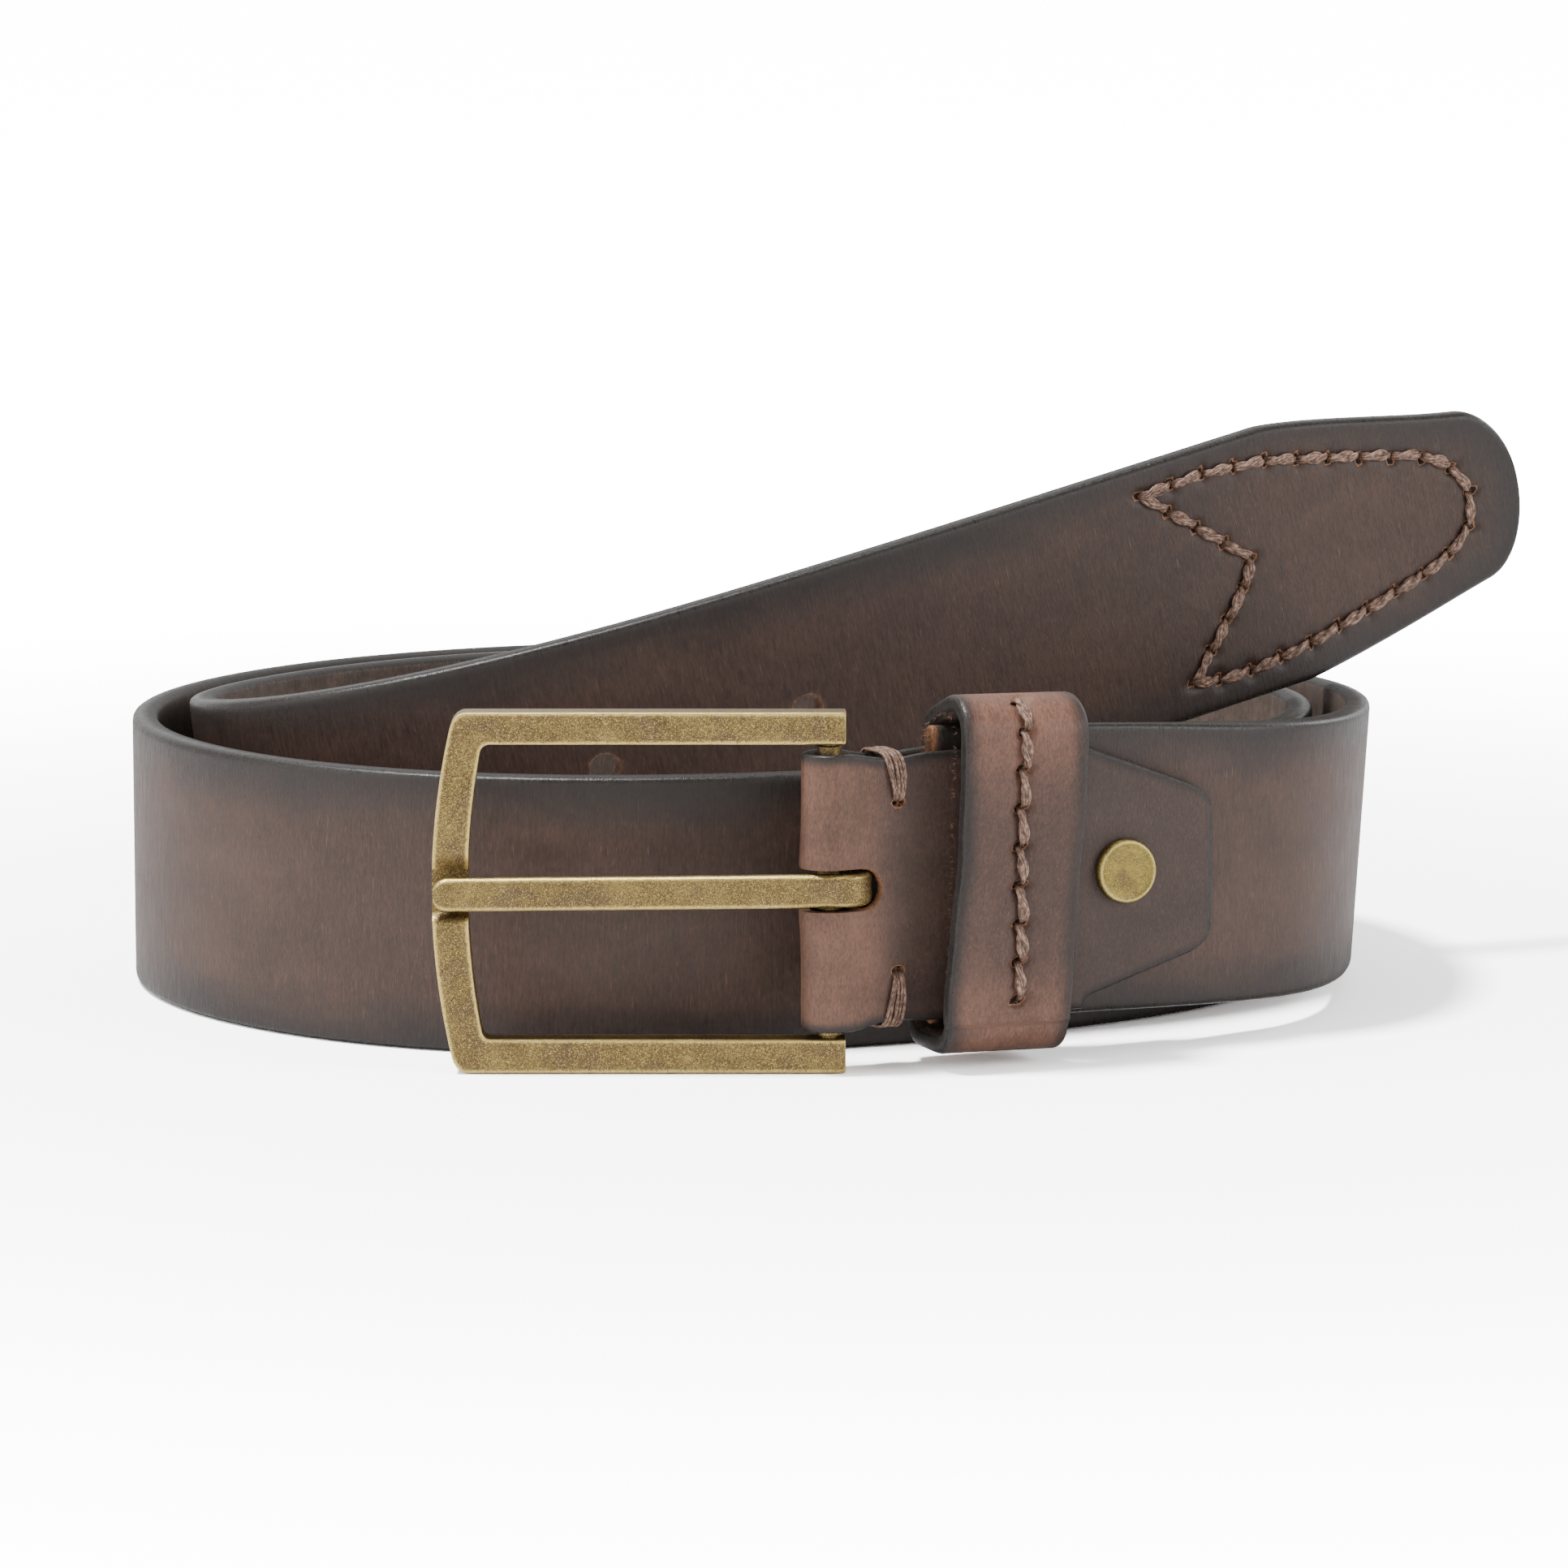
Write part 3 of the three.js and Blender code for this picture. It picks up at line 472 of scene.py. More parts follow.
def brass(name, dark, mid, light, bright, rough=0.36):
    """Aged brass: speckled patina that is rubbed off along the edges."""
    m = Shader(name)
    flat = m.attribute("flat", vector=True)
    edge = m.attribute("edge")
    blotch = m.noise(flat, [0.35] * 3, 4.0, 0.6, 0.3)
    speckle = m.noise(flat, [3.8] * 3, 3.0, 0.72)
    fine = m.noise(flat, [9.0] * 3, 2.0, 0.6)
    pit = m.fit(m.cells(flat, [1.7] * 3), 0.06, 0.25)
    tone = m.total((blotch, 0.3), (speckle, 0.4), (fine, 0.3))
    body = m.ramp(tone, [(0.39, dark), (0.5, mid), (0.61, light)])
    stain = m.noise(flat, (0.16, 0.3, 0.16), 3.0, 0.6, 0.6)
    body = m.mix(m.fit(stain, 0.46, 0.66, 0.0, 0.7), body, STAIN)
    rub = m.total(edge, (m.math("SUBTRACT", speckle, 0.5), 1.3))
    rub = m.fit(rub, 0.0, 0.42, 0.9, 0.0)
    body = m.mix(rub, body, bright)
    body = m.mix(m.fit(fine, 0.56, 0.66, 0.0, 0.8), body, bright)
    body = m.mix(m.fit(speckle, 0.3, 0.42, 0.45, 0.0), body, [c * 0.55 for c in dark])
    body = m.mix(m.fit(pit, 0.0, 1.0, 0.55, 0.0), body, dark)
    gloss = m.fit(m.total(tone, (rub, -0.12)), 0.3, 0.65, rough - 0.08, rough + 0.1)
    height = m.total((speckle, 0.6), (fine, 0.4), (pit, 0.25))
    return m.finish(body, gloss, m.bump(height, 0.6, 0.00014), metal=0.94)


def thread(name, dark, mid, light):
    """Waxed twisted thread with fine filaments along each ply."""
    m = Shader(name)
    flat = m.attribute("flat", vector=True)
    lines = m.noise(flat, (1.0, 7.0, 7.0), 3.0, 0.6, 0.3)
    wax = m.noise(flat, [2.2] * 3, 3.0, 0.6)
    body = m.ramp(m.total((lines, 0.6), (wax, 0.4)), [(0.40, dark), (0.5, mid), (0.60, light)])
    # mark is painted shade where a thread dives into its hole, and a drawn darkness on loose fibres
    body = m.mix(m.attribute("mark"), body, dark)
    rough = m.fit(wax, 0.35, 0.65, 0.48, 0.68)
    return m.finish(body, rough, m.bump(lines, 0.6, 0.00014), specular=0.4)


STRAP_LEATHER = leather("strap_leather", (0.034, 0.0195, 0.0150), (0.056, 0.0315, 0.0240),
                        (0.082, 0.046, 0.034), (0.045, 0.0235, 0.0160), (0.015, 0.0125, 0.012), 9.0,
                        0.8, (2.6, 0.24))
CHAPE_LEATHER = leather("chape_leather", (0.029, 0.0175, 0.0140), (0.046, 0.0275, 0.0220),
                        (0.070, 0.042, 0.033), (0.118, 0.059, 0.0385), (0.015, 0.0115, 0.010), 1.7,
                        0.3, (3.2, 0.8), 1.2)
KEEPER_LEATHER_MAT = leather("keeper_leather", (0.027, 0.0155, 0.012), (0.050, 0.0275, 0.0205),
                             (0.088, 0.048, 0.035), (0.150, 0.071, 0.046), (0.0135, 0.0105, 0.0098),
                             3.2, 0.3, (1.1, 2.6), 1.2)
AGED_BRASS = brass("aged_brass", (0.075, 0.051, 0.025), (0.158, 0.109, 0.044),
                   (0.27, 0.192, 0.070), (0.70, 0.52, 0.18))
RIVET_BRASS = brass("rivet_brass", (0.13, 0.096, 0.029), (0.205, 0.155, 0.044),
                    (0.27, 0.205, 0.060), (0.52, 0.41, 0.14), 0.4)
WAXED_THREAD = thread("waxed_thread", (0.045, 0.024, 0.016), (0.140, 0.078, 0.053),
                      (0.35, 0.220, 0.160))
FUZZ = thread("raw_fibre", (0.09, 0.038, 0.018), (0.19, 0.088, 0.042), (0.33, 0.18, 0.095))

# ---------------------------------------------------------------- seams


def along_polyline(points, count, closed=True):
    pts = np.vstack([points, points[:1]]) if closed else np.asarray(points)
    length = run_length(pts)
    at = np.linspace(0, length[-1], count + 1)
    return np.stack([np.interp(at, length, pts[:, i]) for i in range(2)], 1)


TIP_HOLES = along_polyline(TIP_SEAM, TIP_STITCHES)


def seam_slits(holes):
    """[(centre, unit direction of the seam there)] for each hole of a seam."""
    d = np.gradient(holes, axis=0)
    if np.allclose(holes[0], holes[-1]):
        d[0] = d[-1] = holes[1] - holes[-2]
    d /= np.linalg.norm(d, axis=1)[:, None]
    return list(zip(holes, d))


def dents(xy, slits, across=0.8, along=0.5):
    """How deep each point lies in the awl holes of a seam, from 0 to 1."""
    depth = np.zeros(len(xy))
    for centre, d in slits:
        near = np.where(np.abs(xy - centre).max(1) < 4)[0]
        v = xy[near] - centre
        a, c = v @ d, v @ np.array([-d[1], d[0]])
        depth[near] = np.maximum(depth[near], np.exp(-0.5 * ((a / along) ** 2 + (c / across) ** 2)))
    return depth


def trench(xy, holes, width=0.85):
    best = np.full(len(xy), 9.0)
    for a, b in zip(holes[:-1], holes[1:]):
        near = np.where(np.abs(xy - (a + b) / 2).max(1) < 6)[0]
        d = b - a
        u = np.clip(((xy[near] - a) @ d) / (d @ d), 0, 1)
        best[near] = np.minimum(best[near], np.linalg.norm(xy[near] - a - u[:, None] * d, axis=1))
    return np.exp(-((best / width) ** 2))


# ---------------------------------------------------------------- strap

STRAP_EDGE = [(1.15, 1.0), (0.72, 0.965), (0.38, 0.86), (0.15, 0.66), (0.03, 0.36), (0.0, 0.0)]


def strap_outline():
    straight = np.concatenate([np.arange(STRAP_START, 974, 2.4),
                               np.arange(974, STRAP_END - END_CORNER, 0.55)])
    turn = np.radians(np.linspace(0, 90, 22))
    stations = np.concatenate([straight, STRAP_END - END_CORNER + END_CORNER * np.sin(turn)])
    u = np.clip((stations - TAPER_FROM) / (STRAP_END - TAPER_FROM), 0, None)
    half = STRAP_WIDTH / 2 - (STRAP_WIDTH / 2 - TAPER_HALF) * u ** 1.2
    drop = np.concatenate([np.zeros(len(straight)), 1 - np.cos(turn)])
    return stations, half - drop * TAPER_HALF


def cutter(levels, outline):
    """A cutter through a flat sheet: outline(grow) is its shape at each (height, grow)."""
    return skin([columns(*outline(grow), height) for height, grow in levels])


def punch(s):
    """A round hole cutter with softly flared mouths."""
    a = np.linspace(0, 2 * np.pi, 40, endpoint=False)
    levels = [(-STRAP_T - 0.6, 0.6), (-STRAP_T - 0.02, 0.22), (-STRAP_T + 0.3, 0.04), (0, 0),
              (STRAP_T - 0.3, 0.04), (STRAP_T + 0.02, 0.22), (STRAP_T + 0.6, 0.6)]
    return cutter(levels, lambda grow: (s + (HOLE_RADIUS + grow) * np.cos(a),
                                        (HOLE_RADIUS + grow) * np.sin(a)))


def build_strap():
    stations, half = strap_outline()
    rings = plate(stations, half, STRAP_EDGE, STRAP_T, inner_face(stations), 64)
    me = carve("strap", *skin(rings), [punch(s) for s in HOLES])
    flat = positions(me)
    s, w, t = flat.T
    top = np.interp(s, stations, half)
    edge = np.maximum(top - np.abs(w), 0)
    tip = np.where(s > 995)[0]
    border = columns(stations, half)[stations > 985]
    border = along_polyline(border, 900, closed=False)
    edge[tip] = np.sqrt(((np.stack([s[tip], np.abs(w[tip])], 1)[:, None] - border[None]) ** 2)
                        .sum(2).min(1))
    edge = np.minimum(edge, 30)
    side = smooth((STRAP_T - np.abs(t)) / 0.5 * (np.abs(t) < STRAP_T - 0.05))
    outer_wall = edge < 1.3
    edge = np.where((side > 0.2) & outer_wall, 0, edge)
    face = smooth((t + 0.4) / 0.8)
    slits = seam_slits(TIP_HOLES)[:-1]
    xy = flat[:, :2]
    hole = dents(xy, slits)
    pressed = trench(xy, TIP_HOLES)
    front = (t > STRAP_T - 0.02).astype(float)
    back = (t < -STRAP_T + 0.02).astype(float)
    flat_in = flat.copy()
    # the cut end inside the fold stands a little high, and the tip's upper side is fuller cut
    flat_in[:, 1] += 1.8 * (1 - smooth((s - STRAP_START) / 76)) * smooth(w / 15)
    flat_in[:, 1] += 0.45 * (1 - smooth((s - STRAP_START) / 14)) * smooth(w / 15)
    flat_in[:, 1] -= 1.0 * smooth((s - 1000) / 30) * smooth(w / 12)
    flat_in[:, 0] += 0.9 * smooth((s - 1026) / 12)
    flat_in[:, 2] += -front * (0.85 * hole + 0.16 * pressed) + back * 0.5 * hole
    wall = np.zeros(len(s))
    for at in HOLES:
        r = np.hypot(s - at, w)
        wall = np.maximum(wall, smooth((HOLE_RADIUS + 0.75 - r) / 0.5) * 0.5)
    raw_end = smooth((STRAP_START + 0.4 - s) / 0.3) * 0.45
    # the dents of the tip's awl holes get a high mark, which paints shade into them; the hole walls
    # and the cut end get raw cut colour
    mark = np.maximum.reduce([smooth((hole - 0.3) / 0.3) * front, hole * back * 0.6, wall * 0.7,
                              raw_end])
    # painted shade: the tip, lying inside the coil, is darkened through wear_and_shade
    inside = smooth((s - 930) / 70) * 0.72
    place("strap_body", me, flat, on_strap(flat_in), STRAP_LEATHER, "strap",
          ["strap"], {"edge": edge, "mark": mark, "face": face, "wear_and_shade": inside + 0.08})


build_strap()

# ---------------------------------------------------------------- chape


def chape_path():
    """Middle line of the folded leaf as (along, outwards), with its length."""
    front = STRAP_T + GAP + LEAF / 2

    def back(s):
        return inner_face(np.asarray(s, float)) - GAP - LEAF / 2

    line = [(s, float(back(s))) for s in np.linspace(BACK_LEAF_END, FOLD_BLEND, 40)]
    for s in np.linspace(FOLD_BLEND, 0, 20)[1:-1]:
        k = float(smooth(s / FOLD_BLEND))
        line.append((s, (FOLD_T - FOLD_R) * (1 - k) + float(back(FOLD_BLEND)) * k))
    for a in np.radians(np.linspace(-90, -270, 40)):
        line.append((FOLD_R * math.cos(a), FOLD_T + FOLD_R * math.sin(a)))
    fold_top = len(line) - 1
    for s in np.linspace(0, FOLD_BLEND, 20)[1:-1]:
        k = float(smooth(s / FOLD_BLEND))
        line.append((s, (FOLD_T + FOLD_R) * (1 - k) + front * k))
    line += [(s, front) for s in np.linspace(FOLD_BLEND, TAB_END, 50)]
    line = np.array(line)
    length = run_length(line)
    return line, length, length[fold_top]


CHAPE_LINE, CHAPE_U, CHAPE_FOLD = chape_path()
CHAPE_MID = CHAPE_FOLD - FOLD_R * math.pi / 2


def chape_half(u):
    s = np.interp(u, CHAPE_U, CHAPE_LINE[:, 0])
    k = (s - TAB_SHOULDER) / (TAB_END - TAB_SHOULDER)
    side = CHAPE_HALF - 1.4 - (CHAPE_HALF - 3.0 - TAB_HALF) * k
    left = np.clip(TAB_END - s, 0, 3.6)
    drop = 3.6 - np.sqrt(np.maximum(3.6 ** 2 - (3.6 - left) ** 2, 0))
    tab = np.minimum(side - drop * 0.8, CHAPE_HALF - 1.4 * smooth(k * 6))
    return np.where((u > CHAPE_FOLD) & (s > TAB_SHOULDER), tab, CHAPE_HALF)


def on_chape(flat):
    """Bends flat chape points (along the leaf, across, outwards) round the bar."""
    u, w, n = flat.T
    fine = np.linspace(0, CHAPE_U[-1], 900)
    s = np.interp(fine, CHAPE_U, CHAPE_LINE[:, 0])
    t = np.interp(fine, CHAPE_U, CHAPE_LINE[:, 1])
    ds, dt = np.gradient(s), np.gradient(t)
    size = np.hypot(ds, dt)
    nx, ny = np.interp(u, fine, -dt / size), np.interp(u, fine, ds / size)
    return columns(np.interp(u, fine, s) + nx * n, w, np.interp(u, fine, t) + ny * n)


def slot_cutter(u0, u1, half):
    a = np.radians(np.linspace(-90, 90, 18))

    def outline(grow):
        c, s = (half + grow) * np.cos(a), (half + grow) * np.sin(a)
        return (np.concatenate([u1 - half + c, u0 + half - c]),
                np.concatenate([SLOT_W + s, SLOT_W - s]))

    return cutter([(-1.6, 0.7), (-0.72, 0.2), (-0.45, 0.02), (0.45, 0.02), (0.72, 0.2),
                   (1.6, 0.7)], outline)


def small_cutter(u, w, a, b):
    ang = np.linspace(0, 2 * np.pi, 20, endpoint=False)
    return cutter([(-1.5, 0.6), (-0.7, 0.15), (0, 0), (0.7, 0.15), (1.5, 0.6)],
                  lambda grow: (u + (a + grow) * np.cos(ang), w + (b + grow) * np.sin(ang)))


def build_chape():
    end = CHAPE_U[-1]
    stations = np.concatenate([[0, 0.1, 0.3, 0.6], np.arange(1.2, end - 4, 0.7),
                               end - 3.6 + 3.6 * np.sin(np.radians(np.linspace(0, 78, 9))),
                               [end - 0.04, end - 0.001]])
    pinch = np.minimum(1, np.sqrt(np.clip(1 - (1 - np.minimum(stations, end - stations) / 0.5)
                                          .clip(0) ** 2, 0.12, 1)))
    edge = [(0.55, 1.0), (0.3, 0.95), (0.12, 0.8), (0.03, 0.5), (0.0, 0.0)]
    rings = plate(stations, chape_half(stations), edge, LEAF / 2, -LEAF / 2, 60, pinch)
    slot_reach = np.interp(SLOT_END, CHAPE_LINE[-70:, 0], CHAPE_U[-70:])
    slot_u0 = 2 * CHAPE_MID - slot_reach
    front_u = np.interp(TACK_AT, CHAPE_LINE[-70:, 0], CHAPE_U[-70:])
    back_u = 2 * CHAPE_MID - front_u
    cutters = [slot_cutter(slot_u0, slot_reach, SLOT_HALF)]
    cutters += [small_cutter(u, TACK_HOLES[sign], 0.85, 0.55)
                for u in (front_u, back_u) for sign in (1, -1)]
    me = carve("chape", *skin(rings), cutters)
    flat = positions(me)
    u, w, n = flat.T
    edge_d = np.maximum(chape_half(u) - np.abs(w), 0)
    edge_d = np.minimum(edge_d, np.minimum(u, end - u))
    edge_d = np.where((np.abs(n) < LEAF / 2 - 0.06) & (edge_d < 0.7), 0, edge_d)
    mid_u, reach = (slot_u0 + slot_reach) / 2, (slot_reach - slot_u0) / 2 - SLOT_HALF
    d = np.hypot(np.maximum(np.abs(u - mid_u) - reach, 0), w - SLOT_W) - SLOT_HALF
    wall = (np.abs(n) < LEAF / 2 - 0.06) & (d < 0.35)
    mark = np.where(wall, 0.40, smooth((0.75 - d) / 0.7) * 0.36)
    ring_r = np.full(len(u), 9.0)
    for hu in (front_u, back_u):
        for sign in (1, -1):
            ring_r = np.minimum(ring_r, np.hypot((u - hu) / 0.9, (w - TACK_HOLES[sign]) / 0.65))
    # round the tack holes the mark runs from raw cut colour at the rim to painted shade, near
    # black, on the walls
    mark = np.maximum(mark, smooth((1.6 - ring_r) / 0.8) * 0.75)
    s = np.interp(u, CHAPE_U, CHAPE_LINE[:, 0])
    warm = smooth((9.5 - s) / 7) * smooth((u - CHAPE_MID + 6) / 3)
    warm = (warm + 0.13 * smooth((30 - s) / 8)).clip(0, 1) * smooth(edge_d / 2.2)
    bent = on_chape(flat)
    # the tack pulls the long edges in, and the fold opens a little beside the slot
    pull = 0.5 * np.exp(-((bent[:, 0] - TACK_AT) / 3.0) ** 2) * smooth((np.abs(w) - 10) / 8)
    bent[:, 1] -= np.sign(w) * pull
    bent[:, 1] += 0.9 * smooth((bent[:, 0] - 28) / 8) * smooth(w / 16)
    bent[:, 1] += 0.5 * np.sign(w) * smooth((5.5 - bent[:, 0]) / 4) * smooth((np.abs(w) - 8) / 9)
    near = np.exp(-((np.abs(w - SLOT_W) - SLOT_HALF) / 4.0) ** 2) * smooth((3 - bent[:, 0]) / 6)
    bent[:, 0] -= 0.3 * near
    place("chape_body", me, flat, on_strap(bent), CHAPE_LEATHER, "strap",
          ["chape"], {"edge": edge_d, "mark": mark, "face": smooth((n + 0.3) / 0.6),
                      "wear_and_shade": warm})


build_chape()

# ---------------------------------------------------------------- keeper


KEEPER_TOP = 7.9 + KEEPER_LEATHER
KEEPER_MID = [(-21.3, 9.1, 3.4), (26.7, 9.1, 4.4), (21.2, -3.4, 3.8), (-21.0, -3.4, 4.6)]


def keeper_path():
    """Closed middle line of the keeper's leather as (across, outwards), its normals, and how far
    along the front face each point lies, counted from the middle and on over the top bend."""
    corners = [np.array(c[:2]) for c in KEEPER_MID]
    arcs = []
    for i, (_w, _t, r) in enumerate(KEEPER_MID):
        p, before, after = corners[i], corners[i - 1], corners[(i + 1) % 4]
        a = (before - p) / np.linalg.norm(before - p)
        b = (after - p) / np.linalg.norm(after - p)
        half_angle = math.acos(float(a @ b)) / 2
        reach = r / math.tan(half_angle)
        centre = p + (a + b) / np.linalg.norm(a + b) * r / math.sin(half_angle)
        arcs.append((p + a * reach, p + b * reach, centre, r))
    pts, nrm, face = [], [], []
    for i in range(4):
        start, (end, arc_end, centre, r) = arcs[i][1], arcs[(i + 1) % 4]
        d = (end - start) / np.linalg.norm(end - start)
        n = max(2, int(np.linalg.norm(end - start) / 0.5))
        for k in range(n):
            pts.append(start + (end - start) * k / n)
            nrm.append(np.array([-d[1], d[0]]))
            face.append(pts[-1][0] if i == 0 else -99.0)
        v0, v1 = (end - centre) / r, (arc_end - centre) / r
        sweep = math.acos(float(np.clip(v0 @ v1, -1, 1)))
        for k in range(14):
            b = sweep * k / 14
            v = v0 * math.cos(b) + (v1 - v0 * (v0 @ v1)) / math.sin(sweep) * math.sin(b)
            pts.append(centre + r * v)
            nrm.append(v)
            face.append(end[0] + (r + KEEPER_LEATHER / 2) * b if i == 0 else -99.0)
    top = arcs[1]
    return np.array(pts), np.array(nrm), np.array(face), (top[2], top[3] + KEEPER_LEATHER / 2)


def on_keeper_face(p):
    """Like on_keeper, but across runs on over the keeper's rounded top."""
    p = np.asarray(p, float).reshape(-1, 3).copy()
    (cw, ct), radius = keeper_path()[3]
    over = p[:, 1] > cw
    a = (p[:, 1] - cw) / radius
    r = radius + p[:, 2] - KEEPER_TOP
    p[:, 1] = np.where(over, cw + r * np.sin(a), p[:, 1])
    p[:, 2] = np.where(over, ct + r * np.cos(a), p[:, 2])
    return on_keeper(p)


def on_keeper(p):
    """From the keeper's own (along, across, outwards) to the row frame."""
    p = np.asarray(p, float).reshape(-1, 3)
    c, s = math.cos(math.radians(KEEPER_TILT)), math.sin(math.radians(KEEPER_TILT))
    x = p[:, 0] * c + p[:, 1] * s
    y = -p[:, 0] * s + p[:, 1] * c
    middle = np.array([[KEEPER_FROM + KEEPER_WIDTH / 2, 0, 0]])
    base = on_strap(middle)
    axes = [on_strap(middle + e) - base for e in ([[1e-3, 0, 0]], [[0, 1, 0]], [[0, 0, 1]])]
    axes[0] = axes[0] / np.linalg.norm(axes[0])
    return base + x[:, None] * axes[0] + y[:, None] * axes[1] + p[:, 2:3] * axes[2]


def keeper_hole(k):
    step = (KEEPER_SEAM[1] - KEEPER_SEAM[0]) / KEEPER_STITCHES
    drift = 0.5 * math.sin(k * 1.1 + 0.6)
    return np.array([KEEPER_SEAM[2] + 0.35 * drift, KEEPER_SEAM[0] + k * step])


def build_keeper():
    path, normal, along_face, _top = keeper_path()
    n_path = len(path)
    step = np.hypot(*(np.roll(path, -1, 0) - path).T)
    arc = np.concatenate([[0], np.cumsum(step)[:-1]])
    edge = [(0.8, 1.0), (0.48, 0.955), (0.22, 0.84), (0.06, 0.6), (0.01, 0.3), (0.0, 0.0)]
    half, k = KEEPER_WIDTH / 2, KEEPER_LEATHER / 2
    shares = edge[1:] + [(d, -q) for d, q in edge[-2:0:-1]]
    side = [(f * (half - edge[0][0]), k) for f in np.linspace(-1, 1, 35)]
    side = np.array(side + [(half - d, q * k) for d, q in shares])
    prof = np.vstack([side, -side])
    rings = np.zeros((n_path, len(prof), 3))
    flat = np.zeros_like(rings)
    # the two cut edges wander a little, as hand-cut leather does
    wave = 0.12 * np.sin(arc * 0.21 + 0.5) + 0.07 * np.sin(arc * 0.53)
    lean = 1.5 * smooth((path[:, 0] + 20) / 34) - 0.45
    swell = 1 + 0.04 * np.sin(arc * 0.11 + 1)
    for i in range(n_path):
        x = prof[:, 0] + wave[i] * np.sign(prof[:, 0]) * (np.abs(prof[:, 0]) / half) ** 3
        off = prof[:, 1] * swell[i]
        rings[i] = columns(x, *(path[i] + normal[i] * off[:, None]).T)
        flat[i] = columns(arc[i], prof[:, 0], prof[:, 1])
    rings[:, :, 0] += lean[:, None]
    points, faces = skin(rings, closed=True)
    flat = flat.reshape(-1, 3)
    reach = np.repeat(along_face, len(prof))
    outer_face = (flat[:, 2] > k - 0.01) & (reach > -50)
    holes = np.array([keeper_hole(i) for i in range(KEEPER_STITCHES + 1)])
    tilt = np.array([0.32, -0.95])
    on_face = np.stack([points[:, 0], reach], 1)
    hole = dents(on_face, [(h, tilt) for h in holes], 0.95, 0.48) * outer_face
    pressed = trench(on_face, holes, 1.1) * outer_face
    sink = (1.2 * hole + 0.25 * pressed)[:, None] * np.repeat(normal, len(prof), 0)
    points[:, 1:] -= sink
    edge_d = half - np.abs(flat[:, 1])
    edge_d = np.where(np.abs(flat[:, 2]) < k - 0.1, 0, edge_d)
    across = points[:, 1]
    warm = 0.12 + 0.7 * smooth((np.abs(across - 1.5) - 8) / 14)
    face = smooth((flat[:, 2] + 0.5) / 1.0)
    # the dents of the keeper's awl holes are marked, which paints shade, near black, into them
    me = to_mesh("keeper", points, faces)
    place("keeper_body", me, flat, on_keeper(points), KEEPER_LEATHER_MAT, "keeper",
          ["keeper"],
          {"edge": edge_d, "mark": smooth((hole - 0.3) / 0.3), "face": face, "wear_and_shade": warm})


build_keeper()

# ---------------------------------------------------------------- stitches


def stitch_parts(a, b, surface, to_world, slant, half, rise=0.3, turns=0.75):
    """One stitch between two holes of a seam, as twisted plies with their flat coordinates."""
    a, b = np.asarray(a, float), np.asarray(b, float)
    d = (b - a) / np.linalg.norm(b - a)
    c = np.array([-d[1], d[0]])
    v = np.linspace(0, 1, 26)
    lean = slant * (2 * v - 1) * (1 - 0.35 * np.abs(2 * v - 1))
    xy = a + np.outer(v, b - a) + lean[:, None] * c
    z = surface + rise - STITCH_DIVE * np.abs(2 * v - 1) ** 4.5
    path = np.hstack([xy, z[:, None]])
    width = half * (1 - 0.5 * np.abs(2 * v - 1) ** 2.5) * (1 + rng.uniform(-0.08, 0.08))
    points, faces = twisted(path, width, 0.55, turns + rng.uniform(-0.2, 0.2))
    ply = len(points) // 2
    u = np.tile(np.repeat(v * 4.5, 8), 2) + rng.uniform(0, 50)
    round_ = np.tile(np.tile(np.linspace(0, 1.6, 8), 26), 2)
    which = np.repeat([0.0, 3.0], ply)
    flat = np.stack([u, round_, which], 1)
    # painted shade: the thread is darkened where it dives below the surface into its hole
    dip = np.clip((surface - points[:, 2] + 0.05) / 0.5, 0, 1)
    return to_world(points), faces, flat, dip


def put_thread(name, parts, body, replaces, material=WAXED_THREAD):
    """Places parts of (points, faces, flat, mark) as one piece."""
    points, faces = joined([part[:2] for part in parts])
    flat = np.vstack([part[2] for part in parts])
    mark = np.concatenate([part[3] for part in parts])
    me = to_mesh(name, points, faces)
    place(name, me, flat, points, material, body, replaces, {"mark": mark}, 70)


def build_stitches():
    for i in range(TIP_STITCHES):
        part = stitch_parts(TIP_HOLES[i], TIP_HOLES[i + 1], STRAP_T, on_strap, 0.2, 0.9)
        put_thread(f"tip_thread_{i + 1:02d}", [part], "strap", [f"tip_stitch_{i + 1:02d}"])

    def behind(p):
        return on_strap(p * [1, 1, -1])

    back = [stitch_parts(a, b, STRAP_T, behind, -0.15, 0.48, 0.12)
            for a, b in zip(TIP_HOLES[:-1], TIP_HOLES[1:])]
    put_thread("tip_thread_back", back, "strap", [])
    for i in range(KEEPER_STITCHES):
        part = stitch_parts(keeper_hole(i), keeper_hole(i + 1), KEEPER_TOP, on_keeper_face, 0.5,
                            0.88, 0.32, 0.8)
        put_thread(f"keeper_thread_{i + 1}", [part], "keeper", [f"keeper_stitch_{i + 1}"])


build_stitches()


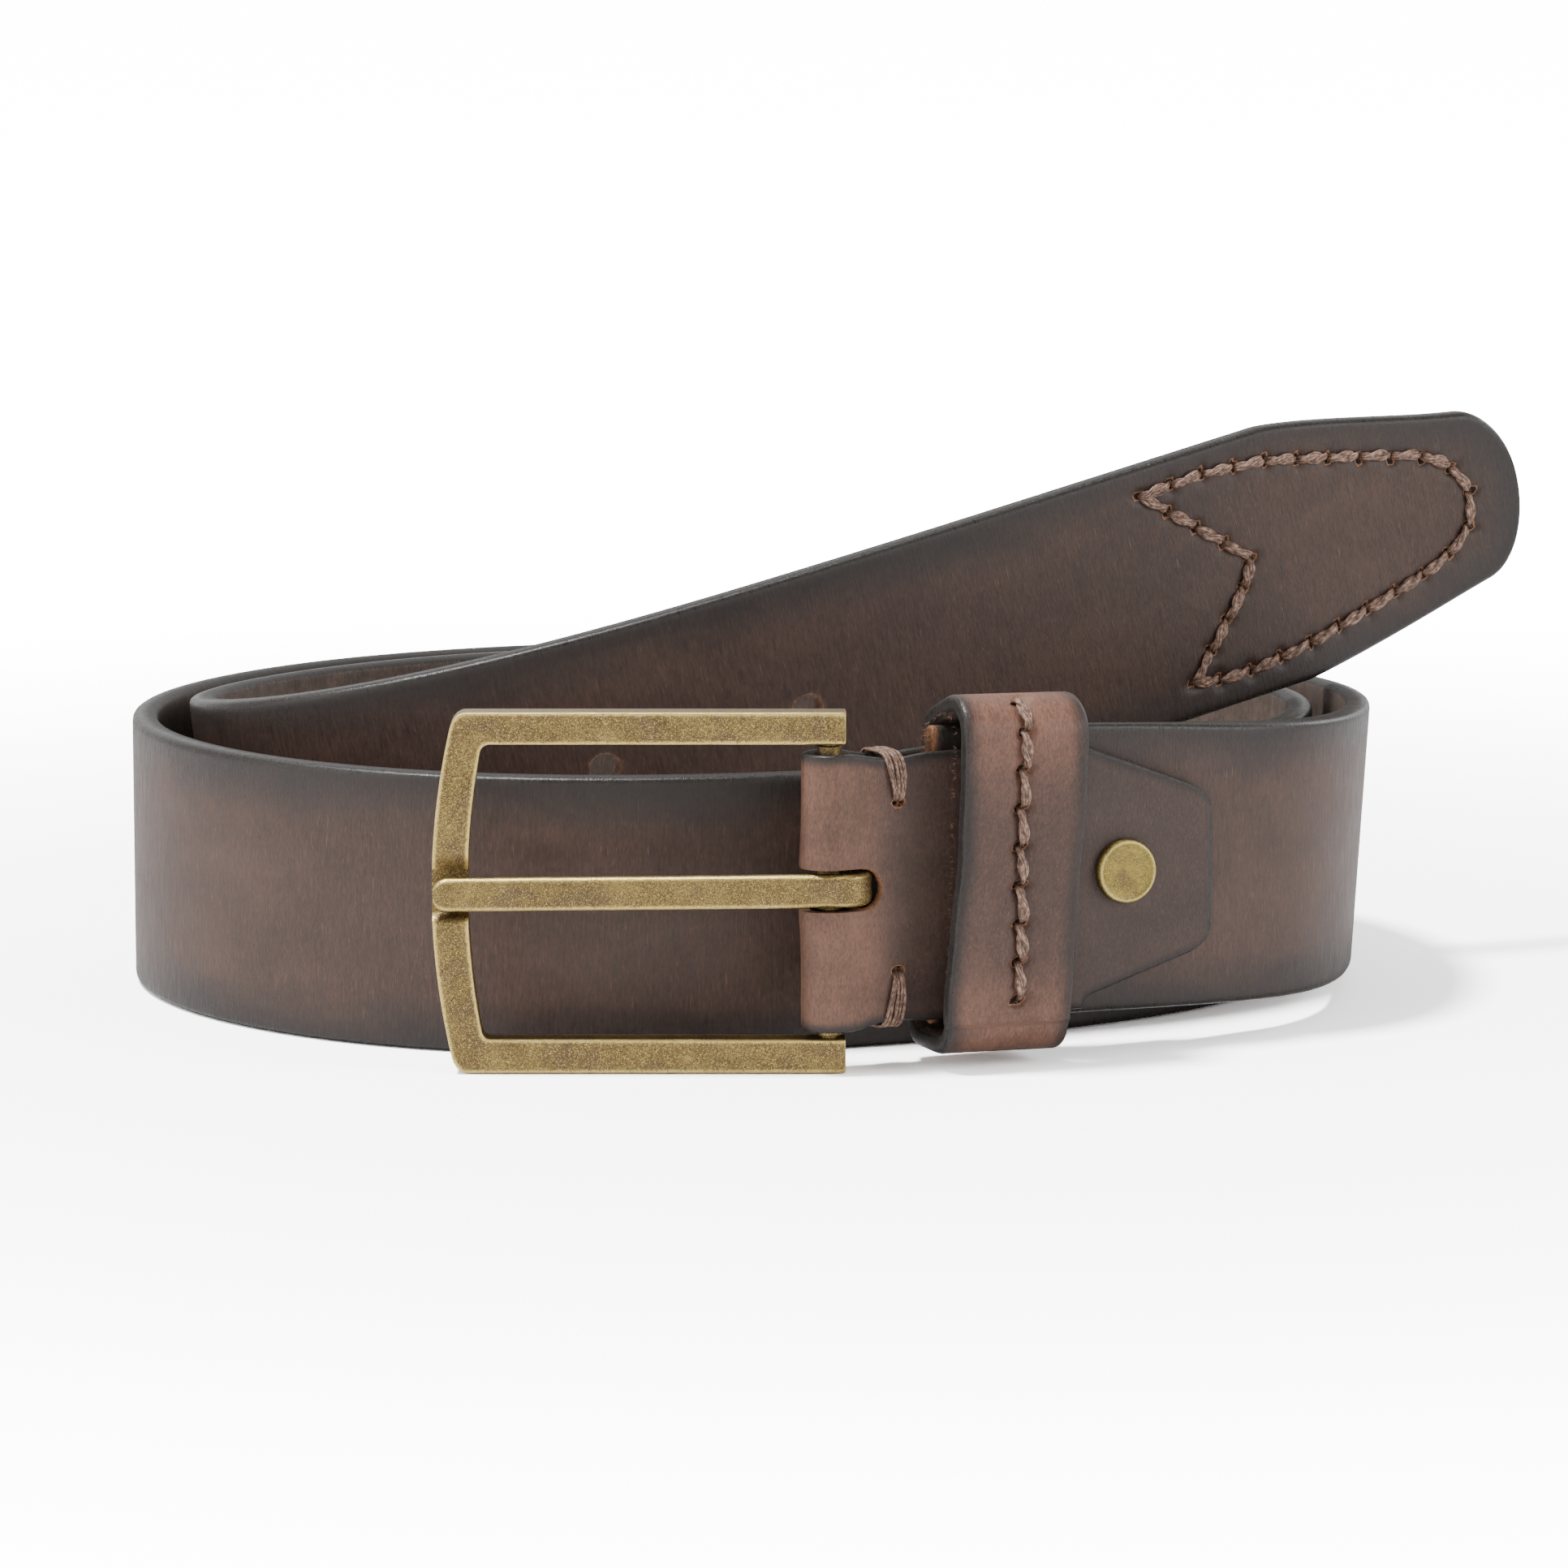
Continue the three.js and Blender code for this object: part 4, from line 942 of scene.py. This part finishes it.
def build_tack(name, side, node):
    """Five waxed strands side by side over the chape's edge, gathered at both holes."""
    blend = float(smooth(TACK_AT / FOLD_BLEND))
    front = (FOLD_T + FOLD_R) * (1 - blend) + (STRAP_T + GAP + LEAF / 2) * blend + LEAF / 2
    back = (FOLD_T - FOLD_R) * (1 - blend) + (SKIVED_INNER - GAP - LEAF / 2) * blend - LEAF / 2
    edge, hole = CHAPE_HALF - 0.05, abs(TACK_HOLES[side])
    corners = np.array([
        [hole + 0.1, front - 1.0], [hole + 0.2, front - 0.3], [hole + 0.7, front + 0.36],
        [hole + 2.4, front + 0.5], [edge - 1.6, front + 0.5], [edge - 0.5, front + 0.3],
        [edge + 0.25, front - 0.5], [edge + 0.4, front - 1.6], [edge + 0.4, back + 1.6],
        [edge + 0.25, back + 0.5], [edge - 0.5, back - 0.3], [edge - 1.6, back - 0.5],
        [hole + 2.4, back - 0.5], [hole + 0.7, back - 0.36], [hole + 0.2, back + 0.3],
        [hole + 0.1, back + 1.0],
    ])
    length = run_length(corners)
    at = np.linspace(0, length[-1], 90)
    w, t = np.interp(at, length, corners[:, 0]), np.interp(at, length, corners[:, 1])
    for _ in range(3):
        w[1:-1] = (w[:-2] + 2 * w[1:-1] + w[2:]) / 4
        t[1:-1] = (t[:-2] + 2 * t[1:-1] + t[2:]) / 4
    u = at / length[-1]
    spread = 0.5 + 0.55 * smooth(np.minimum(u, 1 - u) / 0.26)
    lean = -1.3 * smooth((u - 0.08) / 0.5)
    parts = []
    for k in range(5):
        off = (k - 2) * 0.54 * spread + 0.06 * np.sin(9 * u + 2 * k)
        bulge = 0.13 * np.sin(11 * u + 2.6 * k)
        mid = (front + back) / 2
        points = np.stack([TACK_AT + lean + off, side * (w + 0.04 * np.sin(7 * u + k)),
                           t + np.sign(t - mid) * bulge * (np.abs(t - mid) > 1.5)], 1)
        world = on_strap(points)
        p, f = tube(world, 0.245 * (0.8 + 0.2 * spread), 8, 1.0, (0.41, 0.91, 0.02))
        flat = np.stack([np.repeat(at + 9 * k, 8), np.tile(np.linspace(0, 1.4, 8), len(at)),
                         np.full(len(p), 2.0 * k)], 1)
        # painted shade: the strand ends darken where they go into the holes
        dip = np.repeat(np.clip((0.07 - np.minimum(u, 1 - u)) / 0.05, 0, 1), 8)
        parts.append((p, f, flat, dip))
    put_thread(name, parts, "strap", [node])


build_tack("tack_upper", 1, "tack_stitch_upper")
build_tack("tack_lower", -1, "tack_stitch_lower")

# ---------------------------------------------------------------- loose fibres


def hair(base, tip, curl, radius, to_world, fade=(0, 0)):
    """One loose fibre as a thread part; fade is the range its darkness is drawn from."""
    u = np.linspace(0, 1, 6)[:, None]
    path = base * (1 - u) + tip * u + curl * np.sin(np.pi * u) + curl[::-1] * 0.5 * u * u
    points, faces = tube(path, radius * (1 - 0.7 * u[:, 0]), 4)
    flat = columns(np.repeat(np.linspace(0, 2, 6), 4) + rng.uniform(0, 40),
                   np.tile([0, 0.4, 0.8, 1.2], 6), 0.0)
    return to_world(points), faces, flat, np.full(24, rng.uniform(*fade) if any(fade) else 0.0)


def hole_fibres(name, spots, to_world, reach, lift, count, body):
    """Short fibres that stand out round each spot (along, across, outwards)."""
    parts = []
    for spot in spots:
        for _ in range(count):
            a = rng.uniform(0, 2 * np.pi)
            size = rng.uniform(0.5, 1) * reach
            base = np.array(spot) + np.array([math.cos(a), math.sin(a), 0]) * reach * 0.25
            tip = base + np.array([math.cos(a) * size, math.sin(a) * size,
                                   rng.uniform(0.15, 1) * lift])
            curl = rng.normal(0, 0.22, 3) * reach
            parts.append(hair(base, tip, curl, 0.045, to_world, (0, 0.5)))
    put_thread(name, parts, body, [], FUZZ)


hole_fibres("tip_seam_fibres", [(*h, STRAP_T - 0.1) for h in TIP_HOLES[:-1]], on_strap,
            0.8, 0.3, 6, "strap")
hole_fibres("keeper_seam_fibres",
            [(*keeper_hole(i), KEEPER_TOP - 0.15) for i in range(KEEPER_STITCHES + 1)],
            on_keeper_face, 0.7, 0.3, 6, "keeper")
hole_fibres("tack_fibres",
            [(TACK_AT + 0.2, TACK_HOLES[side] - 0.5 * side, STRAP_T + GAP + LEAF + 0.1)
             for side in (1, -1)], on_strap, 0.9, 0.5, 18, "strap")


def build_end_fibres():
    """The strap's raw cut end inside the fold, and the keeper's fibrous inner edges."""
    parts = []
    for _ in range(260):
        w = rng.uniform(16.0, 20.9)
        t = rng.uniform(-0.15, 1.75)
        base = np.array([STRAP_START + 0.25, w, t])
        tip = base + np.array([-rng.uniform(0.3, 1.1), rng.normal(0.15, 0.35), rng.normal(0, 0.3)])
        parts.append(hair(base, tip, rng.normal(0, 0.16, 3), 0.055, on_strap))
    put_thread("strap_end_fibres", parts, "strap", [], FUZZ)
    parts = []
    path, normal = keeper_path()[:2]
    for _ in range(420):
        i = int(rng.integers(0, len(path)))
        x = rng.choice([-1, 1]) * (KEEPER_WIDTH / 2 - rng.uniform(0.25, 0.6))
        base = np.array([x, *(path[i] - normal[i] * (KEEPER_LEATHER / 2 - 0.05))])
        inward = -normal[i] * rng.uniform(0.05, 0.3) * (normal[i][1] > -0.5)
        tip = base + np.array([np.sign(x) * rng.uniform(0.1, 0.45), inward[0] + rng.normal(0, 0.2),
                               inward[1]])
        parts.append(hair(base, tip, rng.normal(0, 0.08, 3), 0.04, on_keeper, (0.2, 0.9)))
    put_thread("keeper_edge_fibres", parts, "keeper", [], FUZZ)


build_end_fibres()

# ---------------------------------------------------------------- metal


def build_frame():
    """The buckle: a U with a bowed end bar, swept as a rounded section with a prong notch."""
    z0, z1, v0, v1, right = 0.15, 48.5, 4.7, 44.2, 8.2
    mid = (z0 + z1) / 2

    def curve(a, b, c, n):
        u = np.linspace(0, 1, n + 1)[1:, None]
        a, b, c = map(np.array, (a, b, c))
        return (1 - u) ** 2 * a + 2 * u * (1 - u) * b + u * u * c

    def line(a, b, skip=1):
        u = np.linspace(0, 1, 61)[skip:, None]
        return np.array(a) * (1 - u) + np.array(b) * u

    def outline(x, near, turn, lean, drop, bow, low, high):
        """From the upper rail's end round the bowed end bar to the lower rail's end."""
        return np.vstack([
            line((right, high), (x + near, high), 0),
            curve((x + near, high), (x + turn, high), (x - lean, high - drop), 9),
            curve((x - lean, high - drop), (bow, mid), (x - lean, low + drop), 110),
            curve((x - lean, low + drop), (x + turn, low), (x + near, low), 9),
            line((x + near, low), (right, low)),
        ])

    outer = outline(-43.8, 2, 0.2, 0.3, 2.2, -49.12, z0, z1)
    inside = outline(-39.9, 1.2, 0, 0.2, 1.2, -43.5, v0, v1)
    n = len(outer)
    rings, edges = [], []
    ends = [(0.3, 0.0), (0.08, -0.08), (0.0, -0.3)]
    order = [(0, *end) for end in ends] + [(i, 0.0, 0.0) for i in range(1, n - 1)]
    order += [(n - 1, *end) for end in ends[::-1]]
    for i, shrink, move in order:
        o, q = outer[i], inside[i]
        width = np.linalg.norm(o - q)
        d = (o - q) / width
        ring = rounded_box_ring(width - 2 * shrink, 4.0 - 2 * shrink, 0.26, 6, 4)
        c = (o + q) / 2
        x = c[0] + ring[:, 0] * d[0] + move
        z = c[1] + ring[:, 0] * d[1]
        y = BAR[1] + ring[:, 1]
        rings.append(np.stack([x, y, z], 1))
        b = np.maximum(width / 2 - np.abs(ring[:, 0]), 2.0 - np.abs(ring[:, 1]))
        edges.append(np.maximum(b - 0.2, 0) if shrink == 0 else 0 * b)
    rings = np.array(rings)
    points, faces = skin(rings)
    edge = np.concatenate(edges)
    dz = np.abs(points[:, 2] - PRONG_Z)
    high = points[:, 2] > PRONG_Z
    reach = np.where(high, 5.9, 3.7)
    floor = -6.5 + 1.35 * smooth((reach - dz) / np.where(high, 3.4, 1.4))
    at_bar = points[:, 0] < -38
    sunk = at_bar & (points[:, 1] < floor)
    points[:, 1] = np.where(sunk, floor, points[:, 1])
    edge = np.where(sunk & (dz < 3), 1.5, edge)
    flat = points.copy()
    me = to_mesh("frame", points, faces)
    place("buckle_body", me, flat, points - ORIGIN, AGED_BRASS, "buckle",
          ["buckle_frame"], {"edge": edge}, 42)


def build_prong():
    """A flat-faced tongue whose heel is rolled round the bar."""
    hook_x, hook_r, tip_x = 7.6, 3.0, -46.4
    arm_y = BAR[1] - hook_r
    tip_y = -6.55
    u = np.concatenate([np.linspace(0, 0.06, 12), np.linspace(0.06, 1, 90)[1:]])
    x = tip_x + (hook_x - tip_x) * u
    k = smooth((x - tip_x) / (0.9 * (hook_x - 2 - tip_x)))
    line = [np.stack([x, tip_y + (arm_y - tip_y) * k], 1)]
    a = np.radians(np.linspace(-90, 90, 34))[1:]
    line.append(np.stack([hook_x + hook_r * np.cos(a), BAR[1] + hook_r * np.sin(a)], 1))
    line.append(np.array([[hook_x - 1.6, BAR[1] + hook_r], [hook_x - 3.2, BAR[1] + hook_r]]))
    line = np.vstack(line)
    d = np.gradient(line, axis=0)
    d /= np.linalg.norm(d, axis=1)[:, None]
    nrm = np.stack([d[:, 1], -d[:, 0]], 1)
    length = run_length(line)
    rings, edges, flats = [], [], []
    for i in range(len(line)):
        far = length[i]
        left = length[-1] - far
        nose = math.sqrt(max(1 - (1 - min(far / 2.0, 1)) ** 2, 0.03))
        tail = math.sqrt(max(1 - (1 - min(left / 0.6, 1)) ** 2, 0.2))
        width = 4.5 * (0.32 + 0.68 * nose) * (0.9 + 0.1 * tail)
        thick = 2.1 * (0.45 + 0.55 * math.sqrt(nose)) * (0.8 + 0.2 * tail)
        bow = float(smooth((far - 44) / 8)) * 0.25
        ring = rounded_box_ring(width, thick, min(0.72 + bow, thick * 0.46), 6, 3)
        out = ring[:, 1] + (2.1 - thick) / 2 * -0.6
        xy = line[i] + np.outer(out, nrm[i])
        rise = 0.7 * min(far / 52, 1)
        rings.append(np.stack([xy[:, 0], xy[:, 1], PRONG_Z + rise + ring[:, 0]], 1))
        b = np.maximum(width / 2 - np.abs(ring[:, 0]), thick / 2 - np.abs(ring[:, 1]))
        edges.append(np.maximum(b - 0.3, 0))
        flats.append(np.stack([np.full(len(ring), far), ring[:, 0], ring[:, 1]], 1))
    points, faces = skin(rings)
    me = to_mesh("prong", points, faces)
    place("prong_body", me, np.vstack(flats), points - ORIGIN, AGED_BRASS, "prong",
          ["prong"], {"edge": np.concatenate(edges)}, 42)


def lathe(profile, sides=72):
    """A turned shape round the outward axis; profile is [(radius, height)] from rim to middle."""
    a = np.linspace(0, 2 * np.pi, sides, endpoint=False)
    rings = [np.stack([r * np.cos(a), r * np.sin(a), np.full(sides, h)], 1) for r, h in profile]
    return skin(rings)


def build_rivet():
    seat = STRAP_T + GAP + LEAF + 0.02
    cap = [(3.9, 0.0), (4.3, 0.0), (4.4, 0.1), (4.42, 0.45), (4.36, 0.85), (4.22, 1.08),
           (4.02, 1.2), (3.84, 1.2), (3.7, 1.12), (3.62, 1.06), (3.0, 1.08), (2.0, 1.12),
           (1.0, 1.15), (0.05, 1.16)]
    points, faces = lathe(cap)
    r = np.hypot(points[:, 0], points[:, 1])
    flat = points + [RIVET_AT, RIVET_W, seat]
    me = to_mesh("rivet", points, faces)
    place("rivet_cap_body", me, flat, on_strap(flat), RIVET_BRASS, "strap",
          ["rivet_cap"], {"edge": np.abs(r - 4.05)}, 60)
    back_seat = float(inner_face(np.array(RIVET_AT))) - GAP - LEAF - GAP
    top = seat + 0.3 - back_seat
    post = [(0.05, -0.9), (2.6, -0.88), (3.3, -0.78), (3.7, -0.5), (3.8, -0.2), (3.8, 0.0),
            (1.5, 0.0), (1.5, top), (0.05, top)]
    points, faces = lathe(post, 48)
    r = np.hypot(points[:, 0], points[:, 1])
    flat = points + [RIVET_AT, RIVET_W, back_seat]
    me = to_mesh("rivet_back", points, faces)
    place("rivet_back_body", me, flat, on_strap(flat), RIVET_BRASS, "strap",
          ["rivet_post"], {"edge": np.abs(r - 3.6)}, 40)


def build_bar():
    z0, z1 = 4.7 - 2.3, 44.2 + 2.3
    profile = [(0.05, z0), (1.0, z0), (1.1, z0 + 0.1), (1.1, 4.95), (1.2, 5.0), (1.5, 5.0),
               (1.6, 5.1)]
    profile += [(1.6, z) for z in np.linspace(6, 43, 38)]
    profile += [(1.6, 43.8), (1.5, 43.9), (1.2, 43.9), (1.1, 43.95), (1.1, z1 - 0.1), (1.0, z1),
                (0.05, z1)]
    points, faces = lathe(profile, 40)
    points = points + [BAR[0], BAR[1], 0]
    me = to_mesh("bar", points, faces)
    place("heel_bar_body", me, points, points - ORIGIN, AGED_BRASS, "buckle",
          ["heel_bar"], {"edge": 1.0}, 42)


build_frame()
build_prong()
build_rivet()
build_bar()

# ---------------------------------------------------------------- studio


def build_studio():
    scene = bpy.context.scene
    bm = bmesh.new()
    bmesh.ops.create_grid(bm, x_segments=2, y_segments=2, size=9)
    me = bpy.data.meshes.new("floor")
    bm.to_mesh(me)
    bm.free()
    floor = bpy.data.objects.new("floor", me)
    scene.collection.objects.link(floor)
    floor.location.z = CAD_BOX[0].z
    m = Shader("floor")
    m.bsdf.inputs["Roughness"].default_value = 0.7
    m.bsdf.inputs["Specular IOR Level"].default_value = 0.15
    path = m.tree.nodes.new("ShaderNodeLightPath")
    camera_ray = path.outputs["Is Camera Ray"]
    m.put(m.bsdf.inputs["Base Color"], m.mix(camera_ray, (0.8, 0.8, 0.8), (FLOOR_SEEN,) * 3))
    # further out the floor runs into the white backdrop
    place_at = m.tree.nodes.new("ShaderNodeTexCoord").outputs["Object"]
    length = m.tree.nodes.new("ShaderNodeVectorMath")
    length.operation = "LENGTH"
    m.put(length.inputs[0], place_at)
    glow = m.fit(length.outputs["Value"], 0.12, 0.55, FLOOR_GLOW[0], FLOOR_GLOW[1])
    m.bsdf.inputs["Emission Color"].default_value = (1, 1, 1, 1)
    m.put(m.bsdf.inputs["Emission Strength"], m.math("MULTIPLY", glow, camera_ray))
    me.materials.append(m.mat)

    world = bpy.data.worlds.new("studio")
    scene.world = world
    world.use_nodes = True
    nt = world.node_tree
    bg = nt.nodes["Background"]
    light = nt.nodes.new("ShaderNodeLightPath")
    look = nt.nodes.new("ShaderNodeSeparateXYZ")
    nt.links.new(nt.nodes.new("ShaderNodeTexCoord").outputs["Generated"], look.inputs[0])
    behind = nt.nodes.new("ShaderNodeMapRange")
    nt.links.new(look.outputs["Y"], behind.inputs[0])
    for i, value in enumerate((0.1, 0.9, WORLD_LEVEL[0], WORLD_LEVEL[1])):
        behind.inputs[i + 1].default_value = value
    level = nt.nodes.new("ShaderNodeMix")
    nt.links.new(light.outputs["Is Camera Ray"], level.inputs[0])
    nt.links.new(behind.outputs[0], level.inputs[2])
    level.inputs[3].default_value = BACKDROP_LEVEL
    nt.links.new(level.outputs[0], bg.inputs[1])
    bg.inputs[0].default_value = (1, 1, 1, 1)

    def area(name, place_at, target, size, power):
        data = bpy.data.lights.new(name, "AREA")
        data.shape, data.size, data.energy = "DISK", size, power
        ob = bpy.data.objects.new(name, data)
        scene.collection.objects.link(ob)
        ob.location = place_at
        ob.rotation_euler = (Vector(target) - Vector(place_at)).to_track_quat("-Z", "Y").to_euler()

    for light_args in LIGHTS:
        area(*light_args)

    data = bpy.data.cameras.new("camera")
    data.sensor_width, data.lens = 36, 164.1
    data.clip_start, data.clip_end = 0.05, 40
    cam = bpy.data.objects.new("camera", data)
    scene.collection.objects.link(cam)
    cam.location = (-0.00692, -1.00564, 0.18352)
    aim = Vector((-0.00692, -0.06784, 0.03802)) - cam.location
    cam.rotation_euler = aim.to_track_quat("-Z", "Y").to_euler()
    scene.camera = cam


FLOOR_SEEN = 2.8
FLOOR_GLOW = (0.0, 14.0)
WORLD_LEVEL = (0.36, 1.3)
BACKDROP_LEVEL = 14.0
LIGHTS = [
    ("key", (-0.42, -0.12, 1.25), (0, 0, 0.03), 0.24, 32),
    ("left", (-1.15, -0.55, 0.6), (0, 0, 0.03), 1.3, 11),
    ("right", (1.15, -0.55, 0.5), (0, 0, 0.03), 0.8, 12),
    ("front", (-0.1, -1.8, 0.35), (0, 0, 0.03), 0.5, 4.5),
    ("rim", (0.9, 0.75, 0.5), (0, 0, 0.05), 0.5, 4),
]
build_studio()
